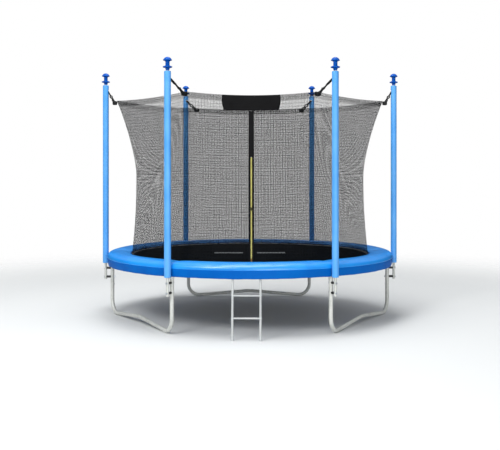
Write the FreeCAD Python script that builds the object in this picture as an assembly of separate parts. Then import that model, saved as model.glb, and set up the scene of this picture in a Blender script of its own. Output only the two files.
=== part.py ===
import FreeCAD, Part
import math
import os

from FreeCAD import Vector

# Round garden trampoline with six net poles, in millimetres, +Z up.
# The origin is on the ground under the middle of the jumping mat.
# Azimuth 0 is the front (-Y), and it grows towards the right (+X).

# Driving dimensions of the ring and its legs
rim_circle_radius = 1204.0
frame_tube_radius = 16.0
frame_tube_wall = 1.5
rim_height = 515.0
leg_count = 6
socket_wall = 1.5
socket_depth = 90.0
socket_screw_rise = 20.0
leg_upright_drop = 280.0
swage_length = 45.0
swage_shoulder = 4.0
leg_corner_radius = 110.0
leg_middle_radius = 500.0
leg_middle_rise = 40.0
slope_steps = 8

# Net poles
pole_radius = 11.0
pole_wall = 1.2
pole_foot_length = 22.0
pole_lower_length = 852.0
sleeve_radius = 26.0
sleeve_wall = 1.0
sleeve_gap = 1.5
sleeve_drop = 75.0
sleeve_length = 1553.0
sleeve_rounding = 8.0
cap_gap = 5.0
cap_plug_length = 25.0
cap_foot_radius = 13.5
cap_foot_flare = 17.0
cap_foot_height = 15.0
cap_flange_radius = 36.0
cap_flange_height = 19.0
cap_flange_thickness = 10.0
cap_neck_radius = 16.0
cap_neck_start_height = 35.0
cap_neck_end_height = 65.0
cap_dome_radius = 34.5
cap_dome_edge_height = 73.0
cap_dome_edge_thickness = 5.0
cap_dome_rise = 22.0

# Pole fasteners
pole_bolt_radius = 4.0
bolt_head_radius = 9.0
bolt_head_height = 4.5
nut_radius = 7.5
nut_height = 6.5
bolt_end_length = 3.0
spacer_radius = 10.0
upper_bolt_drop = 119.0
lower_bolt_drop = 195.0

# Thread-cutting screws of the frame
screw_radius = 2.4
screw_head_radius = 5.0
screw_head_height = 3.0
screw_length = 9.0

# Jumping mat, its V-rings and the springs
spring_count = 48
mat_thickness = 2.0
webbing_width = 36.0
webbing_wall = 1.7
webbing_loop_radius = 4.2
webbing_loop_length = 22.0
webbing_loop_seat = 0.4
ring_wire_radius = 2.0
ring_half_base = 16.0
ring_depth = 34.0
ring_corner_radius = 5.0
spring_rise = 7.0
spring_radius = 9.5
spring_wire_radius = 1.6
spring_body_length = 83.0
spring_hook_radius = 5.0
spring_hook_turn = 250.0
spring_hook_lead = 7.0
spring_hook_drop = 13.0
spring_outer_lead = 13.5
spring_hole_radius = 3.5

# Safety pad over the springs
pad_inner_overlap = 9.0
pad_outer_overhang = 14.5
pad_thickness = 18.0
pad_skirt_drop = 68.0
pad_cover_wall = 1.2
pad_skirt_wall = 1.5
pad_tie_count = 12
pad_tie_width = 20.0
pad_tie_thickness = 1.5

# Safety net
net_thickness = 1.5
net_foot_rise = 9.0
net_foot_gap = 11.0
net_front_sag = 30.0
net_side_sag = 14.0
net_front_strap_span = 245.0
net_side_strap_span = 97.0
net_back_strap_span = 252.0
net_side_waist_depth = 29.0
net_end_waist_depth = 49.0
net_waist_share = 0.51
net_flare_power = 1.5
net_chord_power = 1.4
net_seam_gap = 0.3
net_columns = 13
net_rows = 25
band_rows = 4
hem_thickness = 1.0
top_hem_height = 45.0
bottom_hem_height = 28.0
header_width = 450.0
header_height = 120.0
header_thickness = 1.5

# Door in the front net: two flaps, a zip with two sliders and their tabs
slit_width = 12.0
flap_width = 42.0
flap_gap = 10.0
flap_thickness = 1.5
flap_foot = 6.0
zip_length = 815.0
zip_side_clearance = 0.3
zip_middle_gap = 1.6
zip_thickness = 2.0
slider_width = 8.4
slider_length = 16.0
slider_plate = 2.0
slider_bridge_width = 1.0
slider_bridge_length = 7.0
slider_crown_width = 3.0
slider_crown_length = 5.0
lower_slider_station = 36.0
upper_slider_station = 425.0
tab_pin_radius = 0.9
tab_pin_clearance = 0.08
tab_ear_radius = 1.9
tab_ear_gap = 0.3
tab_width = 7.0
tab_length = 20.0
tab_thickness = 1.2
tab_pin_height = 2.6

# Elastic loops that hold the net to the poles
strap_drop = 48.0
strap_fall = 87.0
strap_band_height = 14.0
strap_band_thickness = 3.0
strap_bar_width = 19.0
strap_bar_height = 10.0
strap_reach = 5.0
strap_slot_margin = 1.5
cord_radius = 4.5
cord_top_spread = 5.4
cord_bend_radius = 30.0
cord_bottom_spread = 13.0
cord_seat_depth = 20.0
clip_top_width = 50.0
clip_bottom_width = 40.0
clip_height = 38.0
clip_thickness = 36.0
clip_rounding = 6.0
toggle_width = 27.0
toggle_length = 11.0
toggle_thickness = 13.0
toggle_share = 0.66

# Webbing ties that hold the net's foot to the ring under the pad
net_tie_count = 24
net_tie_width = 12.0
net_tie_thickness = 1.5
net_tie_rise = 6.0
net_tie_tab = 14.0

# Hook-on ladder
ladder_azimuth = -1.8
ladder_spacing = 206.0
ladder_outset = 90.0
ladder_rail_radius = 8.5
ladder_rail_wall = 1.2
ladder_rung_radius = 6.5
ladder_rung_heights = (160.0, 322.0)
rung_screw_bite = 12.0
ladder_hook_clearance = 0.9
ladder_hook_thickness = 2.5
ladder_hook_width = 12.0
ladder_hook_start = -110.0
ladder_hook_end = 190.0
ladder_foot_radius = 11.5
ladder_foot_height = 32.0
ladder_foot_floor = 5.0

# Clearances
slip_clearance = 0.3
soft_clearance = 0.3
hole_clearance = 0.1

up = Vector(0, 0, 1)
right = Vector(1, 0, 0)
outward = Vector(0, -1, 0)
origin = Vector(0, 0, 0)
leg_spacing = 360.0 / leg_count

# Heights, all from the height of the ring
leg_split_height = rim_height - leg_upright_drop
upper_bolt_height = rim_height - upper_bolt_drop
lower_bolt_height = rim_height - lower_bolt_drop
pole_bottom_height = lower_bolt_height - pole_foot_length
pole_joint_height = pole_bottom_height + pole_lower_length
sleeve_bottom_height = rim_height - sleeve_drop
sleeve_top_height = sleeve_bottom_height + sleeve_length
strap_height = sleeve_top_height - strap_drop
net_corner_height = strap_height - strap_fall
spring_height = rim_height + spring_rise
net_bottom_height = spring_height + net_foot_rise
net_tie_height = spring_height + net_tie_rise
pad_skirt_bottom_height = rim_height - pad_skirt_drop

# Radii, all from the ring: inward over the springs to the mat, and outward to the poles
tube_bore = frame_tube_radius - frame_tube_wall
spring_hole_height = spring_height + spring_hole_radius - spring_wire_radius - slip_clearance
hole_lip_rise = spring_hole_height - spring_hole_radius - rim_height
hook_seat_radius = rim_circle_radius - math.sqrt(tube_bore ** 2 - hole_lip_rise ** 2)
spring_tip_radius = hook_seat_radius + slip_clearance + spring_wire_radius
spring_body_end = spring_tip_radius - spring_outer_lead
spring_body_start = spring_body_end - spring_body_length
ring_apex_radius = spring_body_start - spring_hook_lead - spring_hook_radius
ring_base_radius = ring_apex_radius - ring_depth
webbing_outer_radius = ring_base_radius - webbing_loop_radius + webbing_loop_seat
mat_radius = webbing_outer_radius - webbing_wall - soft_clearance
pad_inner_radius = mat_radius - pad_inner_overlap
pad_outer_radius = rim_circle_radius + frame_tube_radius + pad_outer_overhang
net_bottom_radius = pad_inner_radius - net_foot_gap
pole_circle_radius = pad_outer_radius + sleeve_gap + sleeve_radius
leg_azimuths = [leg_spacing * (k + 0.5) for k in range(leg_count)]


# Small helpers: points, rods, tubes and turned pieces

def front_point(across, radius, height):
    """Point in the plane through the front: across to the right, radius from the middle."""
    return Vector(across, -radius, height)


def turned(shape, azimuth):
    """Copy of a shape that was built at the front, turned round the middle to an azimuth."""
    copy = shape.copy()
    copy.rotate(origin, up, azimuth)
    return copy


def cylinder(radius, start, end):
    """Solid round bar from one point to another."""
    run = end.sub(start)
    return Part.makeCylinder(radius, run.Length, start, run)


def tube(outer_radius, inner_radius, start, end):
    """Round tube from one point to another, open at both ends."""
    return cylinder(outer_radius, start, end).cut(cylinder(inner_radius, start, end))


def box(across, radial, vertical):
    """Block at the front from its (low, high) limits across, outward and in height."""
    low = front_point(across[0], radial[1], vertical[0])
    return Part.makeBox(across[1] - across[0], radial[1] - radial[0], vertical[1] - vertical[0], low)


def circle_face(centre, direction, radius):
    """Round face with its normal along a direction."""
    edge = Part.Edge(Part.Circle(centre, direction, radius))
    return Part.Face(Part.Wire([edge]))


def one_solid(shape):
    """The single solid inside a fused shape, with split faces merged."""
    return shape.removeSplitter().Solids[0]


def rod_along(points, bend_radii, radius, closed=False):
    """Round bar that follows straight runs joined by tangent arcs."""
    count = len(points)
    corners = range(count) if closed else range(1, count - 1)
    trims = {}
    pieces = []
    for order, corner in enumerate(corners):
        before = points[corner - 1].sub(points[corner]).normalize()
        after = points[(corner + 1) % count].sub(points[corner]).normalize()
        bend = bend_radii[order]
        half_angle = before.getAngle(after) / 2
        trim = bend / math.tan(half_angle)
        trims[corner] = trim
        bisector = before.add(after).normalize()
        centre = points[corner].add(bisector * (bend / math.sin(half_angle)))
        start = points[corner].add(before * trim)
        axis = before.cross(after) * -1
        section = circle_face(start, before, radius)
        turn = 180.0 - math.degrees(2 * half_angle)
        pieces.append(section.revolve(centre, axis, turn))
    runs = range(count) if closed else range(count - 1)
    for run in runs:
        following = (run + 1) % count
        direction = points[following].sub(points[run]).normalize()
        start = points[run].add(direction * trims.get(run, 0.0))
        end = points[following].sub(direction * trims.get(following, 0.0))
        pieces.append(cylinder(radius, start, end))
    return one_solid(pieces[0].fuse(pieces[1:]))


def ring_arc(centre_radius, height, outer_radius, inner_radius, first, last):
    """Curved tube on a level circle round the middle, between two azimuths."""
    section = circle_face(front_point(0, centre_radius, height), right, outer_radius)
    arc = turned(section.revolve(origin, up, last - first), first)
    if inner_radius:
        arc = arc.cut(ring_arc(centre_radius, height, inner_radius, 0, first, last))
    return arc


def turned_profile(points, arcs, axis_point):
    """Solid of revolution about a vertical axis; arcs names the points that are mid-points of arcs."""
    edges = []
    index = 0
    while index < len(points) - 1:
        if index + 1 in arcs:
            edges.append(Part.Arc(points[index], points[index + 1], points[index + 2]).toShape())
            index += 2
        else:
            edges.append(Part.LineSegment(points[index], points[index + 1]).toShape())
            index += 1
    edges.append(Part.LineSegment(points[-1], points[0]).toShape())
    return Part.Face(Part.Wire(edges)).revolve(axis_point, up, 360)


def ring_block(inner, outer, low, high):
    """Flat ring of rectangular section round the middle."""
    centre = Vector(0, 0, low)
    height = high - low
    return Part.makeCylinder(outer, height, centre).cut(Part.makeCylinder(inner, height, centre))


def save(name, solids):
    """Write one node, as one solid or as a group of separate solids."""
    solids = [solid for shape in solids for solid in shape.Solids]
    shape = solids[0] if len(solids) == 1 else Part.makeCompound(solids)
    shape.exportStep(os.path.join("parts", name + ".step"))
    print(name, len(solids), "solids", round(shape.Volume / 1000.0, 2), "cm3", shape.isValid())


# Screws and bolts lie along a line, with the head at its start

def screw(seat, direction, length):
    """Pan-head screw whose head sits on a seat and whose shank goes along a direction."""
    head = cylinder(screw_head_radius, seat.sub(direction * screw_head_height), seat)
    shank = cylinder(screw_radius, seat, seat.add(direction * length))
    return one_solid(head.fuse(shank))


def screw_hole(seat, direction, length):
    """Room for the screw's shank, from just outside its seat."""
    start = seat.sub(direction * screw_head_height)
    return cylinder(screw_radius + hole_clearance, start, seat.add(direction * length))


def pole_bolt(height):
    """Carriage bolt from the pole's outside through the spacer and the leg, with its nut."""
    head_seat = front_point(0, pole_circle_radius + pole_radius + slip_clearance, height)
    nut_seat = front_point(0, rim_circle_radius - frame_tube_radius - slip_clearance, height)
    inward = outward * -1
    head = cylinder(bolt_head_radius, head_seat.sub(inward * bolt_head_height), head_seat)
    rim_edges = [e for e in head.Edges if e.CenterOfMass.y < head_seat.y - bolt_head_height / 2]
    head = head.makeFillet(bolt_head_height / 2, rim_edges)
    shank = cylinder(pole_bolt_radius, head_seat, nut_seat.add(inward * (nut_height + bolt_end_length)))
    bolt = one_solid(head.fuse(shank))
    corners = []
    for corner in range(7):
        angle = math.radians(60 * corner)
        corners.append(nut_seat.add(Vector(nut_radius * math.cos(angle), 0, nut_radius * math.sin(angle))))
    nut = Part.Face(Part.makePolygon(corners)).extrude(inward * nut_height)
    bore = cylinder(pole_bolt_radius + hole_clearance, nut_seat, nut_seat.add(inward * nut_height))
    return [bolt, nut.cut(bore)]


def bolt_hole(height):
    """Room for one pole bolt through pole, spacer and leg."""
    start = front_point(0, pole_circle_radius + pole_radius + bolt_head_height, height)
    end = front_point(0, rim_circle_radius - frame_tube_radius - nut_height, height)
    return cylinder(pole_bolt_radius + hole_clearance, start, end)


bolt_heights = (lower_bolt_height, upper_bolt_height)


# The steel ring: six segments, each with a leg socket under its middle

swage_radius = tube_bore - slip_clearance
swage_bore = swage_radius - frame_tube_wall
socket_bore = frame_tube_radius + slip_clearance
socket_radius = socket_bore + socket_wall
socket_bottom = rim_height - socket_depth
socket_roof = rim_height - frame_tube_radius - socket_wall
rim_arc_angle = math.degrees(1.0 / rim_circle_radius)
half_span = leg_spacing / 2
rim_gap_angle = slip_clearance * rim_arc_angle
shoulder_angle = swage_shoulder * rim_arc_angle
swage_angle = swage_length * rim_arc_angle
spring_pitch = 360.0 / spring_count
socket_screw_height = socket_bottom + socket_screw_rise
joint_screw_angle = swage_angle / 2


def spring_azimuths():
    """Azimuth of each spring, none of them at a leg or at a joint of the ring."""
    return [spring_pitch * (k + 0.5) for k in range(spring_count)]


def rim_joint_screw_seat():
    """Seat of the screw under the ring, halfway along a swage that starts at the front."""
    seat = front_point(0, rim_circle_radius, rim_height - frame_tube_radius)
    turn = FreeCAD.Rotation(up, joint_screw_angle)
    return turn.multVec(seat)


def socket_screw_seat():
    """Seat of the screw in the leg socket, on its inner side."""
    return front_point(0, rim_circle_radius - socket_radius, socket_screw_height)


def leg_screw_seat():
    """Seat of the screw that holds the foot bow in the leg upright."""
    return front_point(0, rim_circle_radius - frame_tube_radius, leg_split_height + swage_length / 2)


def rim_segment():
    """One sixth of the ring at the front: bent tube, swaged end and welded leg socket."""
    first = -half_span + rim_gap_angle
    last = half_span
    body = ring_arc(rim_circle_radius, rim_height, frame_tube_radius, 0, first, last)
    neck_start = last - shoulder_angle
    neck_end = last + swage_angle
    neck = ring_arc(rim_circle_radius, rim_height, swage_radius, 0, neck_start, neck_end)
    top = front_point(0, rim_circle_radius, rim_height)
    socket = cylinder(socket_radius, front_point(0, rim_circle_radius, socket_bottom), top)
    shape = body.fuse([neck, socket])
    shape = shape.cut(ring_arc(rim_circle_radius, rim_height, tube_bore, 0, first, neck_start))
    shape = shape.cut(ring_arc(rim_circle_radius, rim_height, swage_bore, 0, neck_start, neck_end))
    bore_bottom = front_point(0, rim_circle_radius, socket_bottom)
    shape = shape.cut(cylinder(socket_bore, bore_bottom, front_point(0, rim_circle_radius, socket_roof)))
    hole_start = front_point(0, rim_circle_radius - frame_tube_radius * 2, spring_hole_height)
    hole_end = front_point(0, rim_circle_radius, spring_hole_height)
    hole = cylinder(spring_hole_radius, hole_start, hole_end)
    holes = [turned(hole, a - 360 if a > 180 else a) for a in spring_azimuths()]
    near = [h for h in holes if abs(h.CenterOfMass.x) < rim_circle_radius * math.sin(math.radians(half_span))]
    near = [h for h in near if h.CenterOfMass.y < 0]
    joint_hole = screw_hole(rim_joint_screw_seat(), up, screw_length)
    holes = near + [turned(joint_hole, last), turned(joint_hole, -half_span)]
    holes.append(screw_hole(socket_screw_seat(), outward, screw_length))
    return one_solid(shape.cut(holes))


def leg_upright():
    """Straight tube from the leg socket down to the foot bow."""
    top = front_point(0, rim_circle_radius, socket_roof - slip_clearance)
    bottom = front_point(0, rim_circle_radius, leg_split_height + slip_clearance)
    shape = tube(frame_tube_radius, tube_bore, bottom, top)
    holes = [bolt_hole(height) for height in bolt_heights]
    holes.append(screw_hole(socket_screw_seat(), outward, screw_length))
    holes.append(screw_hole(leg_screw_seat(), outward, screw_length))
    return one_solid(shape.cut(holes))


def foot_bow():
    """Foot bow under two neighbouring legs, touching the ground at both corners, raised in the middle."""
    half_width = rim_circle_radius * math.sin(math.radians(half_span))
    depth = rim_circle_radius * math.cos(math.radians(half_span))
    middle_height = frame_tube_radius + leg_middle_rise
    corner_height = 0.0
    for _ in range(slope_steps):
        slope = math.atan2(middle_height - corner_height, half_width)
        drop = math.tan(slope) + 1 / math.cos(slope) - 1
        corner_height = frame_tube_radius - leg_corner_radius * drop
    path = [
        front_point(-half_width, depth, leg_split_height),
        front_point(-half_width, depth, corner_height),
        front_point(0, depth, middle_height),
        front_point(half_width, depth, corner_height),
        front_point(half_width, depth, leg_split_height),
    ]
    bends = [leg_corner_radius, leg_middle_radius, leg_corner_radius]
    outside = rod_along(path, bends, frame_tube_radius)
    inside = rod_along(path, bends, tube_bore)
    necks = []
    neck_bores = []
    screws = []
    for side in (-1, 1):
        foot = front_point(side * half_width, depth, leg_split_height - swage_shoulder)
        shoulder = front_point(side * half_width, depth, leg_split_height)
        neck_top = front_point(side * half_width, depth, leg_split_height + swage_length)
        necks.append(cylinder(swage_radius, foot, neck_top))
        necks.append(cylinder(frame_tube_radius, foot, shoulder))
        neck_bores.append(cylinder(swage_bore, foot, neck_top))
        hole = screw_hole(leg_screw_seat(), outward, screw_length)
        screws.append(turned(hole, side * half_span))
    shape = outside.cut(inside).fuse(necks).cut(neck_bores + screws)
    return one_solid(shape)


def pole_spacer(height):
    """Plastic saddle that keeps a pole off its leg."""
    inner_end = front_point(0, rim_circle_radius, height)
    outer_end = front_point(0, pole_circle_radius, height)
    leg = cylinder(frame_tube_radius + slip_clearance, inner_end.sub(up * socket_depth), inner_end.add(up * socket_depth))
    pole = cylinder(pole_radius + slip_clearance, outer_end.sub(up * socket_depth), outer_end.add(up * socket_depth))
    return one_solid(cylinder(spacer_radius, inner_end, outer_end).cut([leg, pole, bolt_hole(height)]))


# Net poles: lower and upper tube, foam, sleeve and cap

pole_bore = pole_radius - pole_wall
pole_neck_radius = pole_bore - slip_clearance
pole_top_height = sleeve_top_height + cap_gap


def pole_lower():
    """Lower half of a net pole, with the neck that the upper half slides on."""
    bottom = front_point(0, pole_circle_radius, pole_bottom_height)
    joint = front_point(0, pole_circle_radius, pole_joint_height)
    shoulder = joint.sub(up * swage_shoulder)
    neck_top = joint.add(up * swage_length)
    shape = cylinder(pole_radius, bottom, joint).fuse(cylinder(pole_neck_radius, shoulder, neck_top))
    shape = shape.cut([cylinder(pole_bore, bottom, shoulder)])
    shape = shape.cut(cylinder(pole_neck_radius - pole_wall, shoulder, neck_top))
    return one_solid(shape.cut([bolt_hole(height) for height in bolt_heights]))


def pole_upper():
    """Upper half of a net pole."""
    bottom = front_point(0, pole_circle_radius, pole_joint_height + slip_clearance)
    return one_solid(tube(pole_radius, pole_bore, bottom, front_point(0, pole_circle_radius, pole_top_height)))


def strap_slot():
    """Slot on the inner side of foam and sleeve, where the elastic loop comes out."""
    half_width = strap_bar_width / 2 + strap_slot_margin
    half_height = strap_band_height / 2 + strap_slot_margin
    radial = (pole_circle_radius - sleeve_radius - strap_reach, pole_circle_radius)
    return box((-half_width, half_width), radial, (strap_height - half_height, strap_height + half_height))


def pole_foam():
    """Foam tube round the pole, with a pocket for the elastic loop's band."""
    low = front_point(0, pole_circle_radius, sleeve_bottom_height + soft_clearance)
    high = front_point(0, pole_circle_radius, sleeve_top_height - sleeve_rounding)
    shape = tube(sleeve_radius - sleeve_wall - soft_clearance, pole_radius + soft_clearance, low, high)
    half_height = strap_band_height / 2 + strap_slot_margin
    middle = front_point(0, pole_circle_radius, strap_height)
    pocket_radius = pole_radius + soft_clearance + strap_band_thickness + strap_slot_margin
    pocket = cylinder(pocket_radius, middle.sub(up * half_height), middle.add(up * half_height))
    return one_solid(shape.cut([pocket, strap_slot()]))


def pole_sleeve():
    """Coated fabric sleeve over the foam, with a rounded shoulder."""
    low = front_point(0, pole_circle_radius, sleeve_bottom_height)
    high = front_point(0, pole_circle_radius, sleeve_top_height)
    outside = cylinder(sleeve_radius, low, high)
    top_edges = [e for e in outside.Edges if abs(e.CenterOfMass.z - sleeve_top_height) < sleeve_wall]
    outside = outside.makeFillet(sleeve_rounding, [e for e in top_edges if e.Length > sleeve_radius])
    inner_radius = sleeve_radius - sleeve_wall
    roof = high.sub(up * sleeve_wall)
    inside = cylinder(inner_radius, low, roof)
    roof_edges = [e for e in inside.Edges if abs(e.CenterOfMass.z - roof.z) < sleeve_wall / 2]
    inside = inside.makeFillet(sleeve_rounding - sleeve_wall, [e for e in roof_edges if e.Length > sleeve_radius])
    mouth = cylinder(pole_radius + soft_clearance, low, high)
    return one_solid(outside.cut([inside, mouth, strap_slot()]))


def pole_cap():
    """Moulded cap on the pole: plug, flared foot, flange, neck and dome."""
    def at(radius, height):
        return front_point(radius, pole_circle_radius, pole_top_height + height)

    flange_edge = cap_flange_thickness / 2
    brim_edge = cap_dome_edge_thickness / 2
    brim_radius = cap_dome_radius - brim_edge
    dome_radius = (brim_radius ** 2 + cap_dome_rise ** 2) / (2 * cap_dome_rise)
    dome_turn = math.asin(brim_radius / dome_radius) / 2
    dome_top = cap_dome_edge_height + cap_dome_edge_thickness + cap_dome_rise
    outline = [
        at(0, -cap_plug_length),
        at(pole_neck_radius, -cap_plug_length),
        at(pole_neck_radius, 0),
        at(cap_foot_radius, 0),
        at(cap_foot_flare, cap_foot_height),
        at(cap_flange_radius - flange_edge, cap_flange_height),
        at(cap_flange_radius, cap_flange_height + flange_edge),
        at(cap_flange_radius - flange_edge, cap_flange_height + cap_flange_thickness),
        at(cap_neck_radius, cap_neck_start_height),
        at(cap_neck_radius, cap_neck_end_height),
        at(brim_radius, cap_dome_edge_height),
        at(cap_dome_radius, cap_dome_edge_height + brim_edge),
        at(brim_radius, cap_dome_edge_height + cap_dome_edge_thickness),
        at(dome_radius * math.sin(dome_turn), dome_top - dome_radius * (1 - math.cos(dome_turn))),
        at(0, dome_top),
    ]
    return turned_profile(outline, (6, 11, 13), at(0, 0))


# Jumping mat with its webbing edge, the V-rings and the springs

mat_top_height = spring_height + mat_thickness / 2
mat_bottom_height = spring_height - mat_thickness / 2
webbing_inner_radius = mat_radius - webbing_width + webbing_wall


def jumping_mat():
    """Round woven mat."""
    return Part.makeCylinder(mat_radius, mat_thickness, Vector(0, 0, mat_bottom_height))


def mat_edge_webbing():
    """Webbing folded round the mat's edge, with a loop for each V-ring."""
    low = mat_bottom_height - soft_clearance - webbing_wall
    high = mat_top_height + soft_clearance + webbing_wall
    edge = ring_block(webbing_inner_radius, webbing_outer_radius, low, high)
    slot_outer = mat_radius + soft_clearance
    slot_inner = webbing_inner_radius - webbing_wall
    slot = ring_block(slot_inner, slot_outer, low + webbing_wall, high - webbing_wall)
    edge = edge.cut(slot)
    half_length = webbing_loop_length / 2
    start = front_point(-half_length, ring_base_radius, spring_height)
    end = front_point(half_length, ring_base_radius, spring_height)
    loop = cylinder(webbing_loop_radius, start, end)
    passage = cylinder(ring_wire_radius + soft_clearance, start, end)
    loops = [turned(loop, azimuth) for azimuth in spring_azimuths()]
    passages = [turned(passage, azimuth) for azimuth in spring_azimuths()]
    return one_solid(edge.fuse(loops).cut(passages))


def v_ring():
    """Triangular steel ring through a webbing loop, with its tip towards the spring."""
    path = [
        front_point(-ring_half_base - ring_corner_radius, ring_base_radius, spring_height),
        front_point(0, ring_apex_radius + ring_corner_radius, spring_height),
        front_point(ring_half_base + ring_corner_radius, ring_base_radius, spring_height),
    ]
    return rod_along(path, [ring_corner_radius] * 3, ring_wire_radius, closed=True)


def ring_tip_radius():
    """Radius from the middle of the trampoline to the wire's centre at the V-ring's tip."""
    side = math.atan2(ring_half_base + ring_corner_radius, ring_depth + ring_corner_radius)
    return ring_apex_radius + ring_corner_radius - ring_corner_radius / math.sin(side) + ring_corner_radius


def spring():
    """Extension spring as a closed body with its two hooks."""
    start = front_point(0, spring_body_start, spring_height)
    end = front_point(0, spring_body_end, spring_height)
    body = cylinder(spring_radius, start, end)
    hook_play = spring_hook_radius - spring_wire_radius - ring_wire_radius - slip_clearance
    hook_centre = front_point(0, ring_tip_radius() + hook_play, spring_height)
    hook_start = hook_centre.add(outward * spring_hook_radius)
    section = circle_face(hook_start, up, spring_wire_radius)
    inner_hook = section.revolve(hook_centre, right * -1, spring_hook_turn)
    lead = cylinder(spring_wire_radius, hook_start, start)
    tip = front_point(0, spring_tip_radius, spring_height)
    outer_lead = cylinder(spring_wire_radius, end, tip)
    outer_hook = cylinder(spring_wire_radius, tip, tip.sub(up * spring_hook_drop))
    knuckle = Part.makeSphere(spring_wire_radius, tip)
    return one_solid(body.fuse([inner_hook, lead, outer_lead, outer_hook, knuckle]))


# Safety pad: coated cover, foam, skirt and ties

tie_loop_radius = frame_tube_radius + soft_clearance + net_tie_thickness
hook_inner_radius = frame_tube_radius + ladder_hook_clearance
hook_outer_radius = hook_inner_radius + ladder_hook_thickness
pad_bottom_height = rim_height + max(tie_loop_radius, hook_outer_radius) + soft_clearance
pad_top_height = pad_bottom_height + pad_thickness


def pad_ring(margin):
    """Ring with eased edges, the pad's outline less a margin all round."""
    inner = pad_inner_radius + margin
    outer = pad_outer_radius - margin
    low = pad_bottom_height + margin
    high = pad_top_height - margin
    middle = (low + high) / 2
    round_radius = (high - low) / 2
    slant = round_radius * math.sqrt(0.5)
    outline = [
        front_point(0, inner + round_radius, low),
        front_point(0, inner + round_radius - slant, middle - slant),
        front_point(0, inner, middle),
        front_point(0, inner + round_radius - slant, middle + slant),
        front_point(0, inner + round_radius, high),
        front_point(0, outer - round_radius, high),
        front_point(0, outer - round_radius + slant, middle + slant),
        front_point(0, outer, middle),
        front_point(0, outer, low),
    ]
    return turned_profile(outline, (), origin)


def pad_cover():
    """Coated fabric cover of the pad, hollow for the foam."""
    return one_solid(pad_ring(0).cut(pad_ring(pad_cover_wall)))


def pad_foam():
    """Foam ring inside the pad."""
    return one_solid(pad_ring(pad_cover_wall + soft_clearance))


def pad_skirt():
    """Fabric skirt that hangs from the pad's outer edge in front of the ring."""
    high = pad_bottom_height - soft_clearance
    return ring_block(pad_outer_radius - pad_skirt_wall, pad_outer_radius, pad_skirt_bottom_height, high)


def pad_tie():
    """Webbing sling that holds the pad down on the ring."""
    half_width = pad_tie_width / 2
    start = front_point(-half_width, rim_circle_radius, rim_height)
    end = front_point(half_width, rim_circle_radius, rim_height)
    inner = frame_tube_radius + soft_clearance
    outer = inner + pad_tie_thickness
    sling = tube(outer, inner, start, end)
    above = box((-half_width, half_width), (rim_circle_radius - outer, rim_circle_radius + outer),
                (rim_height, rim_height + outer))
    sling = sling.cut(above)
    high = pad_bottom_height - soft_clearance
    sides = []
    for low, far in ((rim_circle_radius - outer, rim_circle_radius - inner),
                     (rim_circle_radius + inner, rim_circle_radius + outer)):
        sides.append(box((-half_width, half_width), (low, far), (rim_height, high)))
    return one_solid(sling.fuse(sides))


# Safety net. A place on it is a panel number, a share across the panel and a share of its height.

corner_azimuths = [leg_spacing * (k - 0.5) for k in range(leg_count)]
strap_spans = [net_front_strap_span, net_front_strap_span, net_side_strap_span,
               net_back_strap_span, net_back_strap_span, net_side_strap_span]
net_corner_radii = [pole_circle_radius - span for span in strap_spans]
waist_depths = [net_end_waist_depth, net_end_waist_depth, net_side_waist_depth,
                net_end_waist_depth, net_end_waist_depth, net_side_waist_depth]
net_waist_radii = [net_bottom_radius - depth for depth in waist_depths]


def corner_edge_radius(corner, share):
    """Radius of the net's corner line at a share of its height: narrow at the waist, wide at the top."""
    waist = net_waist_radii[corner]
    if share < net_waist_share:
        return waist + (net_bottom_radius - waist) * (1 - share / net_waist_share) ** 2
    rise = (share - net_waist_share) / (1 - net_waist_share)
    return waist + (net_corner_radii[corner] - waist) * rise ** net_flare_power


def net_plan(panel, across, share):
    """Level position on a panel: an arc at the foot that straightens to a chord at the top."""
    following = (panel + 1) % leg_count
    near_radius = corner_edge_radius(panel, share)
    far_radius = corner_edge_radius(following, share)
    near = FreeCAD.Rotation(up, corner_azimuths[panel]).multVec(outward * near_radius)
    far = FreeCAD.Rotation(up, corner_azimuths[panel] + leg_spacing).multVec(outward * far_radius)
    chord = near * (1 - across) + far * across
    arc_radius = near_radius * (1 - across) + far_radius * across
    arc_turn = FreeCAD.Rotation(up, corner_azimuths[panel] + leg_spacing * across)
    arc = arc_turn.multVec(outward * arc_radius)
    straightness = share ** net_chord_power
    return chord * straightness + arc * (1 - straightness)


def door_radius(share):
    """Radius of the straight line that the door's zip follows up the front panel."""
    foot = net_plan(0, 0.5, 0.0).Length
    head = net_plan(0, 0.5, 1.0).Length
    return foot + (head - foot) * share


def net_top(panel, across):
    """Height of a panel's top edge, which sags between the corners."""
    sag = net_side_sag if panel else net_front_sag
    return net_corner_height - sag * 4 * across * (1 - across)


def net_point(panel, across, height, offset):
    """Point on a panel at a height, moved outward by an offset."""
    share = (height - net_bottom_height) / (net_top(panel, across) - net_bottom_height)
    plan = net_plan(panel, across, share)
    if panel == 0:
        pull = door_radius(share) - net_plan(0, 0.5, share).Length
        plan = plan + outward * (pull * (4 * across * (1 - across)) ** 2)
    plan = plan + Vector(plan).normalize() * offset
    return Vector(plan.x, plan.y, height)


def front_share(across_mm, height):
    """Share across the front panel of a point that lies some millimetres right of its middle."""
    share = (height - net_bottom_height) / (net_top(0, 0.5) - net_bottom_height)
    step = 0.01
    width = (net_plan(0, 0.5 + step, share).x - net_plan(0, 0.5 - step, share).x) / (2 * step)
    return 0.5 + across_mm / width


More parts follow.
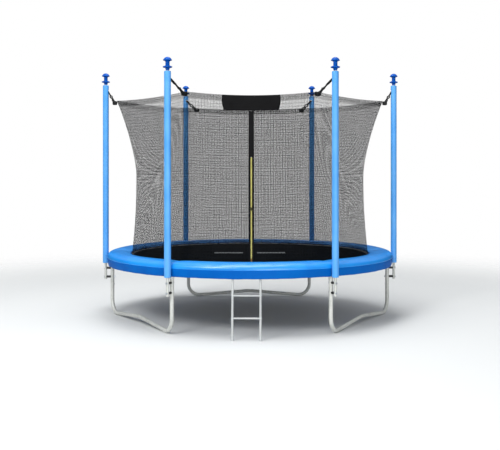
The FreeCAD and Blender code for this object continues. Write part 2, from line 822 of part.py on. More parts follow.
def sheet_solid(place, inner_offset, outer_offset, count_across, count_up):
    """Thin solid between two offset surfaces; place gives a point from two shares and an offset."""
    surfaces = []
    for offset in (inner_offset, outer_offset):
        grid = []
        for i in range(count_across):
            column = [place(i / (count_across - 1), j / (count_up - 1), offset) for j in range(count_up)]
            grid.append(column)
        surface = Part.BSplineSurface()
        surface.interpolate(grid)
        surfaces.append(surface)
    faces = [surface.toShape() for surface in surfaces]
    first_u, last_u, first_v, last_v = surfaces[0].bounds()
    outer_bounds = surfaces[1].bounds()
    for inner_at, outer_at in ((first_u, outer_bounds[0]), (last_u, outer_bounds[1])):
        edge = Part.Edge(surfaces[0].uIso(inner_at))
        faces.append(Part.makeRuledSurface(edge, Part.Edge(surfaces[1].uIso(outer_at))))
    for inner_at, outer_at in ((first_v, outer_bounds[2]), (last_v, outer_bounds[3])):
        edge = Part.Edge(surfaces[0].vIso(inner_at))
        faces.append(Part.makeRuledSurface(edge, Part.Edge(surfaces[1].vIso(outer_at))))
    shell = Part.makeShell(faces)
    shell.sewShape()
    solid = Part.makeSolid(shell.Shells[0])
    if solid.Volume < 0:
        solid.reverse()
    return solid


def panel_sheet(panel, limits, heights, offsets, count_up):
    """Piece of a net panel; limits and heights give (low, high) at each share, offsets (inner, outer)."""
    middle_top = net_top(panel, 0.5)

    def place(across_share, up_share, offset):
        middle = middle_top - (middle_top - net_bottom_height) * (1 - up_share)
        low_across, high_across = limits(middle)
        across = low_across + (high_across - low_across) * across_share
        low, high = heights(panel, across)
        return net_point(panel, across, low + (high - low) * up_share, offset)
    return sheet_solid(place, offsets[0], offsets[1], net_columns, count_up)


seam_share = net_seam_gap / rim_circle_radius


def whole_panel(height):
    """Limits of a panel from seam to seam."""
    return seam_share, 1 - seam_share


def left_half(height):
    """Limits of the front panel's left half."""
    return seam_share, front_share(-slit_width / 2, height)


def right_half(height):
    """Limits of the front panel's right half."""
    return front_share(slit_width / 2, height), 1 - seam_share


def full_height(panel, across):
    """Heights of the net from foot to top edge."""
    return net_bottom_height, net_top(panel, across)


def top_band(panel, across):
    """Heights of the top hem."""
    return net_top(panel, across) - top_hem_height, net_top(panel, across)


def bottom_band(panel, across):
    """Heights of the bottom hem."""
    return net_bottom_height, net_bottom_height + bottom_hem_height


def header_band(panel, across):
    """Heights of the black header panel, flush with the net's top edge."""
    return net_top(panel, across) - header_height, net_top(panel, across)


def header_limits(height):
    """Limits of the header panel across the front."""
    return front_share(-header_width / 2, height), front_share(header_width / 2, height)


net_skin = net_thickness / 2
hem_offsets = (net_skin + soft_clearance, net_skin + soft_clearance + hem_thickness)
header_offsets = (hem_offsets[1] + soft_clearance, hem_offsets[1] + soft_clearance + header_thickness)


def net_panels(panels):
    """Whole mesh panels between the poles."""
    return [panel_sheet(panel, whole_panel, full_height, (-net_skin, net_skin), net_rows) for panel in panels]


def front_net_halves():
    """Mesh of the front panel on both sides of the door's slit."""
    return [panel_sheet(0, half, full_height, (-net_skin, net_skin), net_rows) for half in (left_half, right_half)]


def net_hems():
    """Doubled bands along the net's top edge and foot."""
    hems = []
    for panel in range(1, leg_count):
        for band in (top_band, bottom_band):
            hems.append(panel_sheet(panel, whole_panel, band, hem_offsets, band_rows))
    for half in (left_half, right_half):
        hems.append(panel_sheet(0, half, top_band, hem_offsets, band_rows))
    for half in (left_foot, right_foot):
        hems.append(panel_sheet(0, half, bottom_band, hem_offsets, band_rows))
    return hems


def left_foot(height):
    """Limits of the left foot hem, which stops at the door flap."""
    return seam_share, front_share(-flap_width / 2 - soft_clearance, net_bottom_height)


def right_foot(height):
    """Limits of the right foot hem."""
    return front_share(flap_width / 2 + soft_clearance, net_bottom_height), 1 - seam_share


def header_panel():
    """Bare black panel at the top of the door."""
    return panel_sheet(0, header_limits, header_band, header_offsets, band_rows)


# The door lies on a straight leaning line, and is built upright at the front before it is leant

door_foot = Vector(0, -door_radius(0.0), net_bottom_height)
door_head = Vector(0, -door_radius(1.0), net_top(0, 0.5))
door_line = door_head.sub(door_foot)
door_lean = math.degrees(math.atan2(door_line.y, door_line.z))
door_rise = door_line.z / door_line.Length
door_slant = door_line.y / door_line.Length


def leant(shape):
    """Shape built with the door's foot at the origin and -Y outward, put on the door's line."""
    copy = shape.copy()
    copy.rotate(origin, right, -door_lean)
    copy.translate(door_foot)
    return copy


def door_flap():
    """Black flap over the slit, open as a narrow slot in front of the zip."""
    inner = net_skin + soft_clearance
    outer = inner + flap_thickness
    flap_head = (door_line.z - header_height - soft_clearance) / door_rise - outer * door_slant
    plate = box((-flap_width / 2, flap_width / 2), (inner, outer), (flap_foot, flap_head))
    slot = box((-flap_gap / 2, flap_gap / 2), (inner, outer), (flap_foot, flap_foot + zip_length))
    return leant(plate.cut(slot))


def zip_halves():
    """The two halves of the zip's coil, side by side in the slit."""
    half_width = slit_width / 2 - zip_side_clearance
    radial = (-zip_thickness / 2, zip_thickness / 2)
    vertical = (flap_foot, flap_foot + zip_length)
    left = box((-half_width, -zip_middle_gap / 2), radial, vertical)
    right_side = box((zip_middle_gap / 2, half_width), radial, vertical)
    return [leant(left), leant(right_side)]


slider_inner_face = zip_thickness / 2 + slip_clearance
slider_outer_face = slider_inner_face + slider_plate
tab_pin_radial = slider_outer_face + tab_pin_height
tab_pin_rise = slider_length / 4


def zip_slider(station):
    """Zip slider: plates on both sides of the coil, the bridge between them and the crown for the tab."""
    half_width = slider_width / 2
    half_length = slider_length / 2
    vertical = (station - half_length, station + half_length)
    outer_plate = box((-half_width, half_width), (slider_inner_face, slider_outer_face), vertical)
    inner_plate = box((-half_width, half_width), (-slider_outer_face, -slider_inner_face), vertical)
    bridge = box((-slider_bridge_width / 2, slider_bridge_width / 2), (-slider_inner_face, slider_inner_face),
                 (station - slider_bridge_length / 2, station + slider_bridge_length / 2))
    pin_station = station + tab_pin_rise
    half_crown = slider_crown_width / 2
    crown_top = tab_pin_radial + tab_ear_radius
    crown = box((-half_crown, half_crown), (slider_outer_face, crown_top),
                (pin_station - slider_crown_length / 2, pin_station + slider_crown_length / 2))
    eye = cylinder(tab_pin_radius + tab_pin_clearance,
                   front_point(-half_width, tab_pin_radial, pin_station),
                   front_point(half_width, tab_pin_radial, pin_station))
    return leant(one_solid(outer_plate.fuse([inner_plate, bridge, crown]).cut(eye)))


def pull_tab(station):
    """Pull tab that hangs from the slider's crown on its own pin."""
    pin_station = station + tab_pin_rise
    half_width = tab_width / 2
    ear_inner = slider_crown_width / 2 + tab_ear_gap
    centre = front_point(0, tab_pin_radial, pin_station)
    pin = cylinder(tab_pin_radius, centre.sub(right * half_width), centre.add(right * half_width))
    ears = []
    for side in (-1, 1):
        start = centre.add(right * (side * ear_inner))
        ears.append(cylinder(tab_ear_radius, start, centre.add(right * (side * half_width))))
    radial = (tab_pin_radial - tab_thickness / 2, tab_pin_radial + tab_thickness / 2)
    arm_foot = pin_station - slider_crown_length / 2 - tab_ear_radius
    arms = []
    for side in (-1, 1):
        limits = sorted((side * ear_inner, side * half_width))
        arms.append(box(limits, radial, (arm_foot, pin_station)))
    plate = box((-half_width, half_width), radial, (pin_station - tab_length, arm_foot))
    return leant(one_solid(pin.fuse(ears + arms + [plate])))


# Elastic loops between the poles and the net's corners

clip_offset = hem_offsets[1] + soft_clearance


def corner_of(azimuth_index):
    """Radius of the net's corner that faces a pole."""
    return net_corner_radii[(azimuth_index + 1) % leg_count]


def cord_points(corner_radius, side):
    """Top, knee and bottom of one cord of the loop, at the front; the cords run together down to the knee."""
    clip_radial = corner_radius + clip_offset + clip_thickness / 2
    top_radius = pole_circle_radius - sleeve_radius - strap_reach / 2
    start = front_point(0, top_radius, strap_height)
    finish = front_point(0, clip_radial, net_corner_height - cord_seat_depth)
    knee = start + finish.sub(start) * toggle_share
    top_shift = right * (side * cord_top_spread)
    return start.add(top_shift), knee.add(top_shift), finish.add(right * (side * cord_bottom_spread))


def cord(corner_radius, side, radius):
    """One cord of the elastic loop, or the hole that it runs in."""
    return rod_along(cord_points(corner_radius, side), [cord_bend_radius], radius)


def net_strap(corner_radius):
    """Elastic loop: a band round the pole, a neck through the sleeve and two cords to the clip."""
    middle = front_point(0, pole_circle_radius, strap_height)
    half_band = strap_band_height / 2
    band_inner = pole_radius + soft_clearance
    band = tube(band_inner + strap_band_thickness, band_inner, middle.sub(up * half_band), middle.add(up * half_band))
    bar_root = band_inner + strap_band_thickness / 2
    radial = (pole_circle_radius - sleeve_radius - strap_reach, pole_circle_radius - bar_root)
    half_bar = strap_bar_height / 2
    bar = box((-strap_bar_width / 2, strap_bar_width / 2), radial, (strap_height - half_bar, strap_height + half_bar))
    cords = [cord(corner_radius, side, cord_radius) for side in (-1, 1)]
    return one_solid(band.fuse([bar] + cords))


def corner_clip(corner_radius):
    """Moulded clip on the net's corner, wider at the top, with a hole for each cord."""
    inner = corner_radius + clip_offset
    high = net_corner_height
    low = high - clip_height
    outline = [
        front_point(-clip_top_width / 2, inner, high),
        front_point(clip_top_width / 2, inner, high),
        front_point(clip_bottom_width / 2, inner, low),
        front_point(-clip_bottom_width / 2, inner, low),
        front_point(-clip_top_width / 2, inner, high),
    ]
    block = Part.Face(Part.makePolygon(outline)).extrude(outward * clip_thickness)
    block = block.makeFillet(clip_rounding, block.Edges)
    holes = []
    for side in (-1, 1):
        top, knee, bottom = cord_points(corner_radius, side)
        run = bottom.sub(knee).normalize()
        holes.append(cylinder(cord_radius + soft_clearance, knee, bottom.add(run * soft_clearance)))
    return one_solid(block.cut(holes))


def strap_toggle(corner_radius):
    """Cord lock that gathers the two cords between pole and clip."""
    top, knee, bottom = cord_points(corner_radius, 1)
    centre = Vector(0, knee.y, knee.z)
    axis = knee.sub(top).normalize()
    block = Part.makeBox(toggle_width, toggle_thickness, toggle_length,
                         Vector(-toggle_width / 2, -toggle_thickness / 2, -toggle_length / 2))
    block = block.makeFillet(toggle_thickness / 4, block.Edges)
    block.Placement = FreeCAD.Placement(centre, FreeCAD.Rotation(up * -1, axis))
    return one_solid(block.cut([cord(corner_radius, side, cord_radius + soft_clearance) for side in (-1, 1)]))


# Ties from the net's foot to the ring

def net_tie():
    """Webbing tie: a tab on the net's foot hem, a flat run under the pad and a loop round the ring."""
    half_width = net_tie_width / 2
    inner = frame_tube_radius + soft_clearance
    start = front_point(-half_width, rim_circle_radius, rim_height)
    end = front_point(half_width, rim_circle_radius, rim_height)
    loop = cylinder(tie_loop_radius, start, end)
    tab_inner = net_bottom_radius + hem_offsets[1] + soft_clearance
    tab = box((-half_width, half_width), (tab_inner, tab_inner + net_tie_thickness),
              (net_tie_height, net_tie_height + net_tie_tab))
    run_top = net_tie_height + net_tie_thickness
    run = box((-half_width, half_width), (tab_inner, rim_circle_radius - inner / 2), (net_tie_height, run_top))
    bore = cylinder(inner, front_point(-net_tie_width, rim_circle_radius, rim_height),
                    front_point(net_tie_width, rim_circle_radius, rim_height))
    return one_solid(loop.fuse([tab, run]).cut(bore))


# Hook-on ladder, built at the front and then turned to its place

ladder_slope = math.atan2(ladder_outset, rim_height)
ladder_half = ladder_spacing / 2
rung_screw_length = 2 * ladder_rail_radius + rung_screw_bite
hook_circle_radius = math.sqrt(rim_circle_radius ** 2 - ladder_half ** 2)


def rail_point(across, height):
    """Point on a rail's centre line at a height."""
    out = (rim_height - height) * math.tan(ladder_slope)
    return front_point(across, hook_circle_radius + out, height)


def rung_screw_seat(side, height):
    """Seat of the screw that holds a rung, on the outer side of a rail."""
    return rail_point(side * (ladder_half + ladder_rail_radius), height)


def ladder_rail(side):
    """Rail of the ladder with the flat hook that lies over the ring."""
    across = side * ladder_half
    hook_centre = rail_point(across, rim_height)
    direction = rail_point(across, 0).sub(hook_centre).normalize()
    top = hook_centre + direction * (hook_inner_radius + ladder_hook_thickness / 2)
    foot = rail_point(across, ladder_foot_floor)
    half_width = ladder_hook_width / 2
    hook = tube(hook_outer_radius, hook_inner_radius, hook_centre.sub(right * half_width),
                hook_centre.add(right * half_width))
    opening = 360.0 + ladder_hook_start - ladder_hook_end
    sector = Part.makeCylinder(hook_outer_radius * 2, ladder_hook_width * 2, origin, right, opening)
    sector.rotate(origin, right, -ladder_hook_start + 90)
    sector.translate(hook_centre.sub(right * ladder_hook_width))
    rail = cylinder(ladder_rail_radius, top, foot)
    clearing = cylinder(hook_inner_radius, hook_centre.sub(right * ladder_rail_radius * 2),
                        hook_centre.add(right * ladder_rail_radius * 2))
    shape = hook.cut(sector).fuse(rail).cut(clearing)
    hollow = cylinder(ladder_rail_radius - ladder_rail_wall, top + direction * ladder_hook_thickness * 2, foot)
    shape = shape.cut(hollow)
    floor_cut = box((across - ladder_rail_radius * 3, across + ladder_rail_radius * 3),
                    (0, rim_circle_radius * 2), (-ladder_foot_height, ladder_foot_floor))
    shape = shape.cut(floor_cut)
    holes = []
    for height in ladder_rung_heights:
        holes.append(screw_hole(rung_screw_seat(side, height), right * -side, ladder_rail_radius * 2))
    return one_solid(shape.cut(holes))


def ladder_rung(height):
    """Rung between the rails, with saddle-cut ends."""
    start = rail_point(-ladder_half, height)
    end = rail_point(ladder_half, height)
    bar = cylinder(ladder_rung_radius, start, end)
    rails = []
    for side in (-1, 1):
        high = rail_point(side * ladder_half, height + ladder_foot_height)
        low = rail_point(side * ladder_half, height - ladder_foot_height)
        rails.append(cylinder(ladder_rail_radius + slip_clearance, low, high))
    holes = []
    for side in (-1, 1):
        seat = rung_screw_seat(side, height)
        holes.append(screw_hole(seat, right * -side, rung_screw_length))
    return one_solid(bar.cut(rails + holes))


def ladder_foot(side):
    """Rubber foot on a rail, with a level sole."""
    across = side * ladder_half
    high = rail_point(across, ladder_foot_height)
    low = rail_point(across, -ladder_foot_height)
    boot = cylinder(ladder_foot_radius, low, high)
    ground = box((across - ladder_foot_radius * 2, across + ladder_foot_radius * 2),
                 (0, rim_circle_radius * 2), (-ladder_foot_height * 3, 0))
    socket = cylinder(ladder_rail_radius + slip_clearance, low, rail_point(across, ladder_foot_height * 2))
    sole = box((across - ladder_foot_radius * 2, across + ladder_foot_radius * 2),
               (0, rim_circle_radius * 2), (-ladder_foot_height * 3, ladder_foot_floor - slip_clearance))
    return one_solid(boot.cut(socket.cut(sole)).cut(ground))


os.makedirs("parts", exist_ok=True)

# Ring, legs and poles
frame_screws = []
spacers = []
bolts = []
upper_tubes = []
foams = []
caps = []
segment = rim_segment()
upright = leg_upright()
lower_tube = pole_lower()
sleeve = pole_sleeve()
upper_tube = pole_upper()
foam = pole_foam()
cap = pole_cap()
bow = foot_bow()
joint_screw = screw(rim_joint_screw_seat(), up, screw_length)
leg_screws = [screw(seat, outward, screw_length) for seat in (socket_screw_seat(), leg_screw_seat())]
spacer_pair = [pole_spacer(height) for height in bolt_heights]
bolt_pairs = [piece for height in bolt_heights for piece in pole_bolt(height)]
for index, azimuth in enumerate(leg_azimuths):
    number = str(index + 1)
    save("rim_segment_" + number, [turned(segment, azimuth)])
    save("leg_upright_" + number, [turned(upright, azimuth)])
    save("pole_lower_" + number, [turned(lower_tube, azimuth)])
    save("pole_sleeve_" + number, [turned(sleeve, azimuth)])
    upper_tubes.append(turned(upper_tube, azimuth))
    foams.append(turned(foam, azimuth))
    caps.append(turned(cap, azimuth))
    frame_screws.append(turned(joint_screw, azimuth + half_span))
    frame_screws += [turned(piece, azimuth) for piece in leg_screws]
    spacers += [turned(piece, azimuth) for piece in spacer_pair]
    bolts += [turned(piece, azimuth) for piece in bolt_pairs]
for name, azimuth in (("w_leg_right", leg_spacing), ("w_leg_back", 3 * leg_spacing), ("w_leg_left", -leg_spacing)):
    save(name, [turned(bow, azimuth)])
save("pole_upper_tubes", upper_tubes)
save("pole_foams", foams)
save("pole_caps", caps)
save("pole_spacers", spacers)
save("pole_bolts", bolts)
save("frame_screws", frame_screws)

# Mat, rings and springs
save("jumping_mat", [jumping_mat()])
save("mat_edge_webbing", [mat_edge_webbing()])
ring = v_ring()
coil = spring()
save("v_rings", [turned(ring, azimuth) for azimuth in spring_azimuths()])
save("springs", [turned(coil, azimuth) for azimuth in spring_azimuths()])

# Pad
pad_tie_pitch = 360.0 / pad_tie_count
save("pad_cover", [pad_cover()])
save("pad_foam", [pad_foam()])
save("pad_skirt", [pad_skirt()])
sling = pad_tie()
save("pad_ties", [turned(sling, pad_tie_pitch * (k + 0.5)) for k in range(pad_tie_count)])

# Net and door
save("net_side_panels", net_panels(range(1, leg_count)))
save("net_front_halves", front_net_halves())
save("net_hems", net_hems())
save("header_panel", [header_panel()])
save("door_flap", [door_flap()])
save("zip_coil", zip_halves())
save("zip_slider_lower", [zip_slider(lower_slider_station)])
save("zip_slider_upper", [zip_slider(upper_slider_station)])
save("pull_tab_lower", [pull_tab(lower_slider_station)])
save("pull_tab_upper", [pull_tab(upper_slider_station)])

# Elastic loops, clips and ties
straps = []
clips = []
toggles = []
for index, azimuth in enumerate(leg_azimuths):
    corner_radius = corner_of(index)
    straps.append(turned(net_strap(corner_radius), azimuth))
    clips.append(turned(corner_clip(corner_radius), azimuth))
    toggles.append(turned(strap_toggle(corner_radius), azimuth))
save("net_straps", straps)
save("corner_clips", clips)
save("strap_toggles", toggles)
net_tie_pitch = 360.0 / net_tie_count
tie = net_tie()
save("net_ties", [turned(tie, net_tie_pitch * (k + 0.5)) for k in range(net_tie_count)])

# Ladder
save("ladder_rail_left", [turned(ladder_rail(-1), ladder_azimuth)])
save("ladder_rail_right", [turned(ladder_rail(1), ladder_azimuth)])
save("ladder_rungs", [turned(ladder_rung(height), ladder_azimuth) for height in ladder_rung_heights])
rung_screws = []
for height in ladder_rung_heights:
    for side in (-1, 1):
        piece = screw(rung_screw_seat(side, height), right * -side, rung_screw_length)
        rung_screws.append(turned(piece, ladder_azimuth))
save("ladder_screws", rung_screws)
save("ladder_feet", [turned(ladder_foot(side), ladder_azimuth) for side in (-1, 1)])

print("door lean", round(door_lean, 4), "door foot", door_foot, "spring body", spring_body_start, spring_body_end)
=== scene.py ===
import math

import bmesh
import bpy
import numpy as np
from mathutils import Matrix, Vector, noise


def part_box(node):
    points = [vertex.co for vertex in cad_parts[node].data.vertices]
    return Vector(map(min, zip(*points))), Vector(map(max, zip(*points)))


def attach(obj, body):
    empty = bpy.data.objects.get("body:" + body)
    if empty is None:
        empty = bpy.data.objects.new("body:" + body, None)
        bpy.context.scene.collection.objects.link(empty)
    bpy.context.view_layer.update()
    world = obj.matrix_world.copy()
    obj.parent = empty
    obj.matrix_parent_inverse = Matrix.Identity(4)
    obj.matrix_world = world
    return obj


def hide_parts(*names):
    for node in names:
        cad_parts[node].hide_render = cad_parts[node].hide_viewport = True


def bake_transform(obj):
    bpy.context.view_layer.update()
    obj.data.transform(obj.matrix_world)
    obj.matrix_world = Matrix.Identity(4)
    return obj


# Round garden trampoline with a safety net, in metres, +Z up.
# Azimuth 0 is the front (-Y) and grows towards the right (+X).
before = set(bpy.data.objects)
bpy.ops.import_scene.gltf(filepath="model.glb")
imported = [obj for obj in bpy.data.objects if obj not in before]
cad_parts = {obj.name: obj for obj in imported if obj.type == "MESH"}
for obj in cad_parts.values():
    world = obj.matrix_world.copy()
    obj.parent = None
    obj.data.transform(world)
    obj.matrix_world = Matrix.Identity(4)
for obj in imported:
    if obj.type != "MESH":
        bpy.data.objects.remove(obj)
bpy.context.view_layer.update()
print("frame loaded with", len(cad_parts), "nodes")

mm = 0.001
axisX = Vector((1, 0, 0))
axisZ = Vector((0, 0, 1))


def evenAzimuths(count):
    return [360 / count * (k + 0.5) for k in range(count)]


legCount = 6
legSpacing = 360 / legCount
legAzimuths = evenAzimuths(legCount)


def middleOf(node, axis):
    low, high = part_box(node)
    return (low[axis] + high[axis]) / 2


# Places read from the frame, and the gaps from them to what lies beside them
gaps = {"padOverMat": 9 * mm, "netInPad": 11 * mm, "springUnderMat": 1 * mm, "ringUnderSpring": 7 * mm}
layout = {
    "ringRadius": middleOf("leg_upright_2", 0),
    "poleRadius": middleOf("pole_sleeve_2", 0),
    "matRadius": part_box("jumping_mat")[1].x,
    "matTop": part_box("jumping_mat")[1].z,
    "padOuter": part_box("pad_cover")[1].x,
    "padLow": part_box("pad_cover")[0].z,
    "padHigh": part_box("pad_cover")[1].z,
    "skirtLow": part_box("pad_skirt")[0].z,
    "netLow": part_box("net_side_panels")[0].z,
    "netHigh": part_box("net_side_panels")[1].z,
    "sleeveLow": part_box("pole_sleeve_2")[0].z,
    "sleeveHigh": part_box("pole_sleeve_2")[1].z,
}
layout["padInner"] = layout["matRadius"] - gaps["padOverMat"]
layout["netFoot"] = layout["padInner"] - gaps["netInPad"]
layout["springHeight"] = layout["matTop"] - gaps["springUnderMat"]
layout["ringHeight"] = layout["springHeight"] - gaps["ringUnderSpring"]

# Camera: level, a little left of the front, with the frame shifted down
view = {"lens": 62.86, "sensor": 36, "distance": 7.656, "azimuth": -0.6, "height": 1.223, "shiftUp": -0.1034}


def linkObject(name, data):
    made = bpy.data.objects.new(name, data)
    bpy.context.scene.collection.objects.link(made)
    return made


def placeCamera():
    data = bpy.data.cameras.new("camera")
    data.lens = view["lens"]
    data.sensor_width = view["sensor"]
    data.shift_y = view["shiftUp"]
    camera = linkObject("camera", data)
    turnAngle = math.radians(view["azimuth"])
    reach = view["distance"]
    camera.location = (reach * math.sin(turnAngle), -reach * math.cos(turnAngle), view["height"])
    camera.rotation_euler = (math.radians(90), 0, turnAngle)
    bpy.context.scene.camera = camera


placeCamera()
bpy.context.scene.view_settings.view_transform = "Standard"


# Colour and node helpers
def linear(code):
    parts = [int(code[i:i + 2], 16) / 255 for i in (1, 3, 5)]
    return [p / 12.92 if p <= 0.04045 else ((p + 0.055) / 1.055) ** 2.4 for p in parts] + [1.0]


def addNode(tree, kind, settings=None, links=None, stops=()):
    node = tree.nodes.new("ShaderNode" + kind)
    for name, value in (settings or {}).items():
        if isinstance(name, int) or name in node.inputs:
            node.inputs[name].default_value = value
        else:
            setattr(node, name, value)
    for name, socket in (links or {}).items():
        tree.links.new(socket, node.inputs[name])
    for index, (place, code) in enumerate(stops):
        elements = node.color_ramp.elements
        element = elements[index] if index < 2 else elements.new(place)
        element.position = place
        element.color = linear(code)
    return node


def maths(tree, operation, *terms):
    # a term is a number or a socket
    numbers = {index: term for index, term in enumerate(terms) if isinstance(term, float)}
    sockets = {index: term for index, term in enumerate(terms) if index not in numbers}
    return addNode(tree, "Math", {"operation": operation, **numbers}, sockets).outputs[0]


def noiseOf(tree, place, size, detail, roughness=0.5):
    settings = {"Scale": 1 / size, "Detail": detail, "Roughness": roughness}
    return addNode(tree, "TexNoise", settings, {"Vector": place}).outputs["Fac"]


def crossedThreads(tree, place, directions, thread):
    # the wave texture draws a line every tau / 20 of its own units
    scale = math.tau / 20 / thread
    waves = [addNode(tree, "TexWave", {"bands_direction": direction, "Scale": scale}, {"Vector": place})
             for direction in directions]
    return maths(tree, "MULTIPLY", *[wave.outputs["Fac"] for wave in waves])


def mixShaders(tree, share, first, second):
    return addNode(tree, "MixShader", {}, {0: share, 1: first.outputs[0], 2: second.outputs[0]})


def startMaterial(name, shaderSettings):
    material = bpy.data.materials.new(name)
    material.use_nodes = True
    tree = material.node_tree
    shader = tree.nodes["Principled BSDF"]
    for socket, value in shaderSettings.items():
        shader.inputs[socket].default_value = value
    place = addNode(tree, "TexCoord").outputs["Object"]
    return material, tree, shader, place


def shadeFrom(tree, shader, factor, stops):
    ramp = addNode(tree, "ValToRGB", {}, {"Fac": factor}, stops)
    tree.links.new(ramp.outputs["Color"], shader.inputs["Base Color"])
    return ramp.outputs["Color"]


def roughFrom(tree, shader, factor, low, high):
    rough = addNode(tree, "MapRange", {"To Min": low, "To Max": high}, {"Value": factor})
    tree.links.new(rough.outputs["Result"], shader.inputs["Roughness"])


def bumpFrom(tree, shader, height, depth, before=None):
    # depth is how far the highest point stands out, in metres
    links = {"Height": height}
    if before:
        links["Normal"] = before
    node = addNode(tree, "Bump", {"Strength": 1.0, "Distance": depth}, links)
    tree.links.new(node.outputs["Normal"], shader.inputs["Normal"])
    return node.outputs["Normal"]


def driftMaterial(name, shaderSettings, drift, stops, rough, bumps):
    # one slow noise shades and dulls it; bumps are (noise size, detail, depth), and size 0 means that noise
    material, tree, shader, place = startMaterial(name, shaderSettings)
    factor = noiseOf(tree, place, *drift)
    shadeFrom(tree, shader, factor, stops)
    roughFrom(tree, shader, factor, *rough)
    normal = None
    for size, detail, depth in bumps:
        height = noiseOf(tree, place, size, detail) if size else factor
        normal = bumpFrom(tree, shader, height, depth, normal)
    return material


# Galvanised steel tube: pale zinc grey, a faint spangle and soft reflections
galvanised = {"spangle": 14 * mm, "spangleShare": 0.35, "drift": 160 * mm, "dull": 0.58, "bright": 0.44,
              "grain": 2.5 * mm, "relief": 0.03 * mm}


def galvanisedSteel():
    material, tree, shader, place = startMaterial("galvanisedSteel", {"Metallic": 0.35})
    cells = addNode(tree, "TexVoronoi", {"Scale": 1 / galvanised["spangle"], "Randomness": 1.0},
                    {"Vector": place})
    drift = noiseOf(tree, place, galvanised["drift"], 4.0)
    mixed = maths(tree, "MULTIPLY_ADD", cells.outputs["Color"], galvanised["spangleShare"], drift)
    shadeFrom(tree, shader, mixed, [(0.35, "#B6B9B4"), (0.6, "#C6C8C3"), (0.95, "#D4D5D0")])
    roughFrom(tree, shader, mixed, galvanised["bright"], galvanised["dull"])
    bumpFrom(tree, shader, noiseOf(tree, place, galvanised["grain"], 3.0), galvanised["relief"])
    return material


# Bright zinc plating on wire, bolts and screws: bluer, sharper reflections, a few dull spots
def brightZinc():
    return driftMaterial("brightZinc", {"Metallic": 1.0}, (9 * mm, 5.0),
                         [(0.35, "#A9AEB4"), (0.65, "#CCD2D8")], (0.22, 0.4), [(0, 0, 0.02 * mm)])


# Powder-coated ladder tube: near white, a fine orange peel
def powderCoat():
    return driftMaterial("powderCoat", {"IOR": 1.5}, (120 * mm, 4.0), [(0.3, "#A6AAAA"), (0.7, "#B8BBBA")],
                         (0.3, 0.45), [(2 * mm, 2.0, 0.05 * mm)])


# PVC-coated polyester: saturated, a soft gloss, slack ripples, a fine emboss drawn at 3 mm instead of 1 mm
def coatedFabric(name, shades, gloss, shine):
    return driftMaterial(name, {"IOR": 1.5, "Specular IOR Level": shine}, (220 * mm, 5.0, 0.6),
                         zip((0.25, 0.5, 0.78), shades), (gloss, gloss + 0.16),
                         [(55 * mm, 3.0, 1.4 * mm), (3 * mm, 4.0, 0.08 * mm)])


# Moulded polypropylene: deep colour, crisp highlights, a faint flow texture
def mouldedPlastic(name, shades, gloss, shine=0.5):
    return driftMaterial(name, {"IOR": 1.49, "Specular IOR Level": shine}, (30 * mm, 3.0),
                         zip((0.3, 0.7), shades), (gloss, gloss + 0.12), [(4 * mm, 2.0, 0.06 * mm)])


# Cast zinc zip slider: plated, worn bright on its edges
def sliderMetal(name, shades):
    return driftMaterial(name, {"Metallic": 1.0}, (5 * mm, 6.0), zip((0.4, 0.7), shades), (0.5, 0.25),
                         [(0, 0, 0.04 * mm)])


# Woven cloth of any kind here: two crossed sets of threads over a slow shade drift
def wovenCloth(name, shades, thread, relief, roughness, sheen, shine=0.25):
    material, tree, shader, place = startMaterial(
        name, {"IOR": 1.5, "Specular IOR Level": shine, "Roughness": roughness, "Sheen Weight": sheen,
               "Sheen Roughness": 0.5})
    shadeFrom(tree, shader, noiseOf(tree, place, 90 * mm, 5.0, 0.65), zip((0.3, 0.75), shades))
    bumpFrom(tree, shader, crossedThreads(tree, place, "XZ", thread), relief)
    return material


# Polypropylene tape weave of the mat: black and dull, 2.2 mm squares, two bare pale bars near its middle
matMark = {"halfGap": 62 * mm, "halfSpan": 312 * mm, "halfDepth": 52 * mm, "place": 40 * mm, "shade": "#707476"}


def matWeave():
    material, tree, shader, place = startMaterial(
        "matWeave", {"IOR": 1.49, "Roughness": 0.85, "Specular IOR Level": 0.0})
    base = shadeFrom(tree, shader, noiseOf(tree, place, 240 * mm, 5.0), [(0.3, "#040506"), (0.7, "#060809")])
    axes = addNode(tree, "SeparateXYZ", {}, {"Vector": place})
    across = maths(tree, "ABSOLUTE", axes.outputs["X"])
    near = maths(tree, "ABSOLUTE", maths(tree, "ADD", axes.outputs["Y"], -matMark["place"]))
    inSpan = maths(tree, "LESS_THAN", across, matMark["halfSpan"])
    offGap = maths(tree, "GREATER_THAN", across, matMark["halfGap"])
    inDepth = maths(tree, "LESS_THAN", near, matMark["halfDepth"])
    mark = maths(tree, "MULTIPLY", maths(tree, "MULTIPLY", inSpan, offGap), inDepth)
    # the Mix node's inputs 6 and 7 and its output 2 are its colours
    colour = addNode(tree, "Mix", {"data_type": "RGBA", 7: linear(matMark["shade"])}, {0: mark, 6: base})
    tree.links.new(colour.outputs[2], shader.inputs["Base Color"])
    bumpFrom(tree, shader, crossedThreads(tree, place, "XY", 4.4 * mm), 0.25 * mm)
    return material


# Cross-linked PE foam: white, matt, small closed cells
def foam():
    material, tree, shader, place = startMaterial("foam", {"IOR": 1.5, "Roughness": 0.9})
    cells = addNode(tree, "TexVoronoi", {"Scale": 1 / (1.8 * mm)}, {"Vector": place}).outputs["Distance"]
    shadeFrom(tree, shader, cells, [(0.0, "#D9DAD6"), (0.6, "#F3F3F0")])
    bumpFrom(tree, shader, cells, 0.3 * mm)
    return material


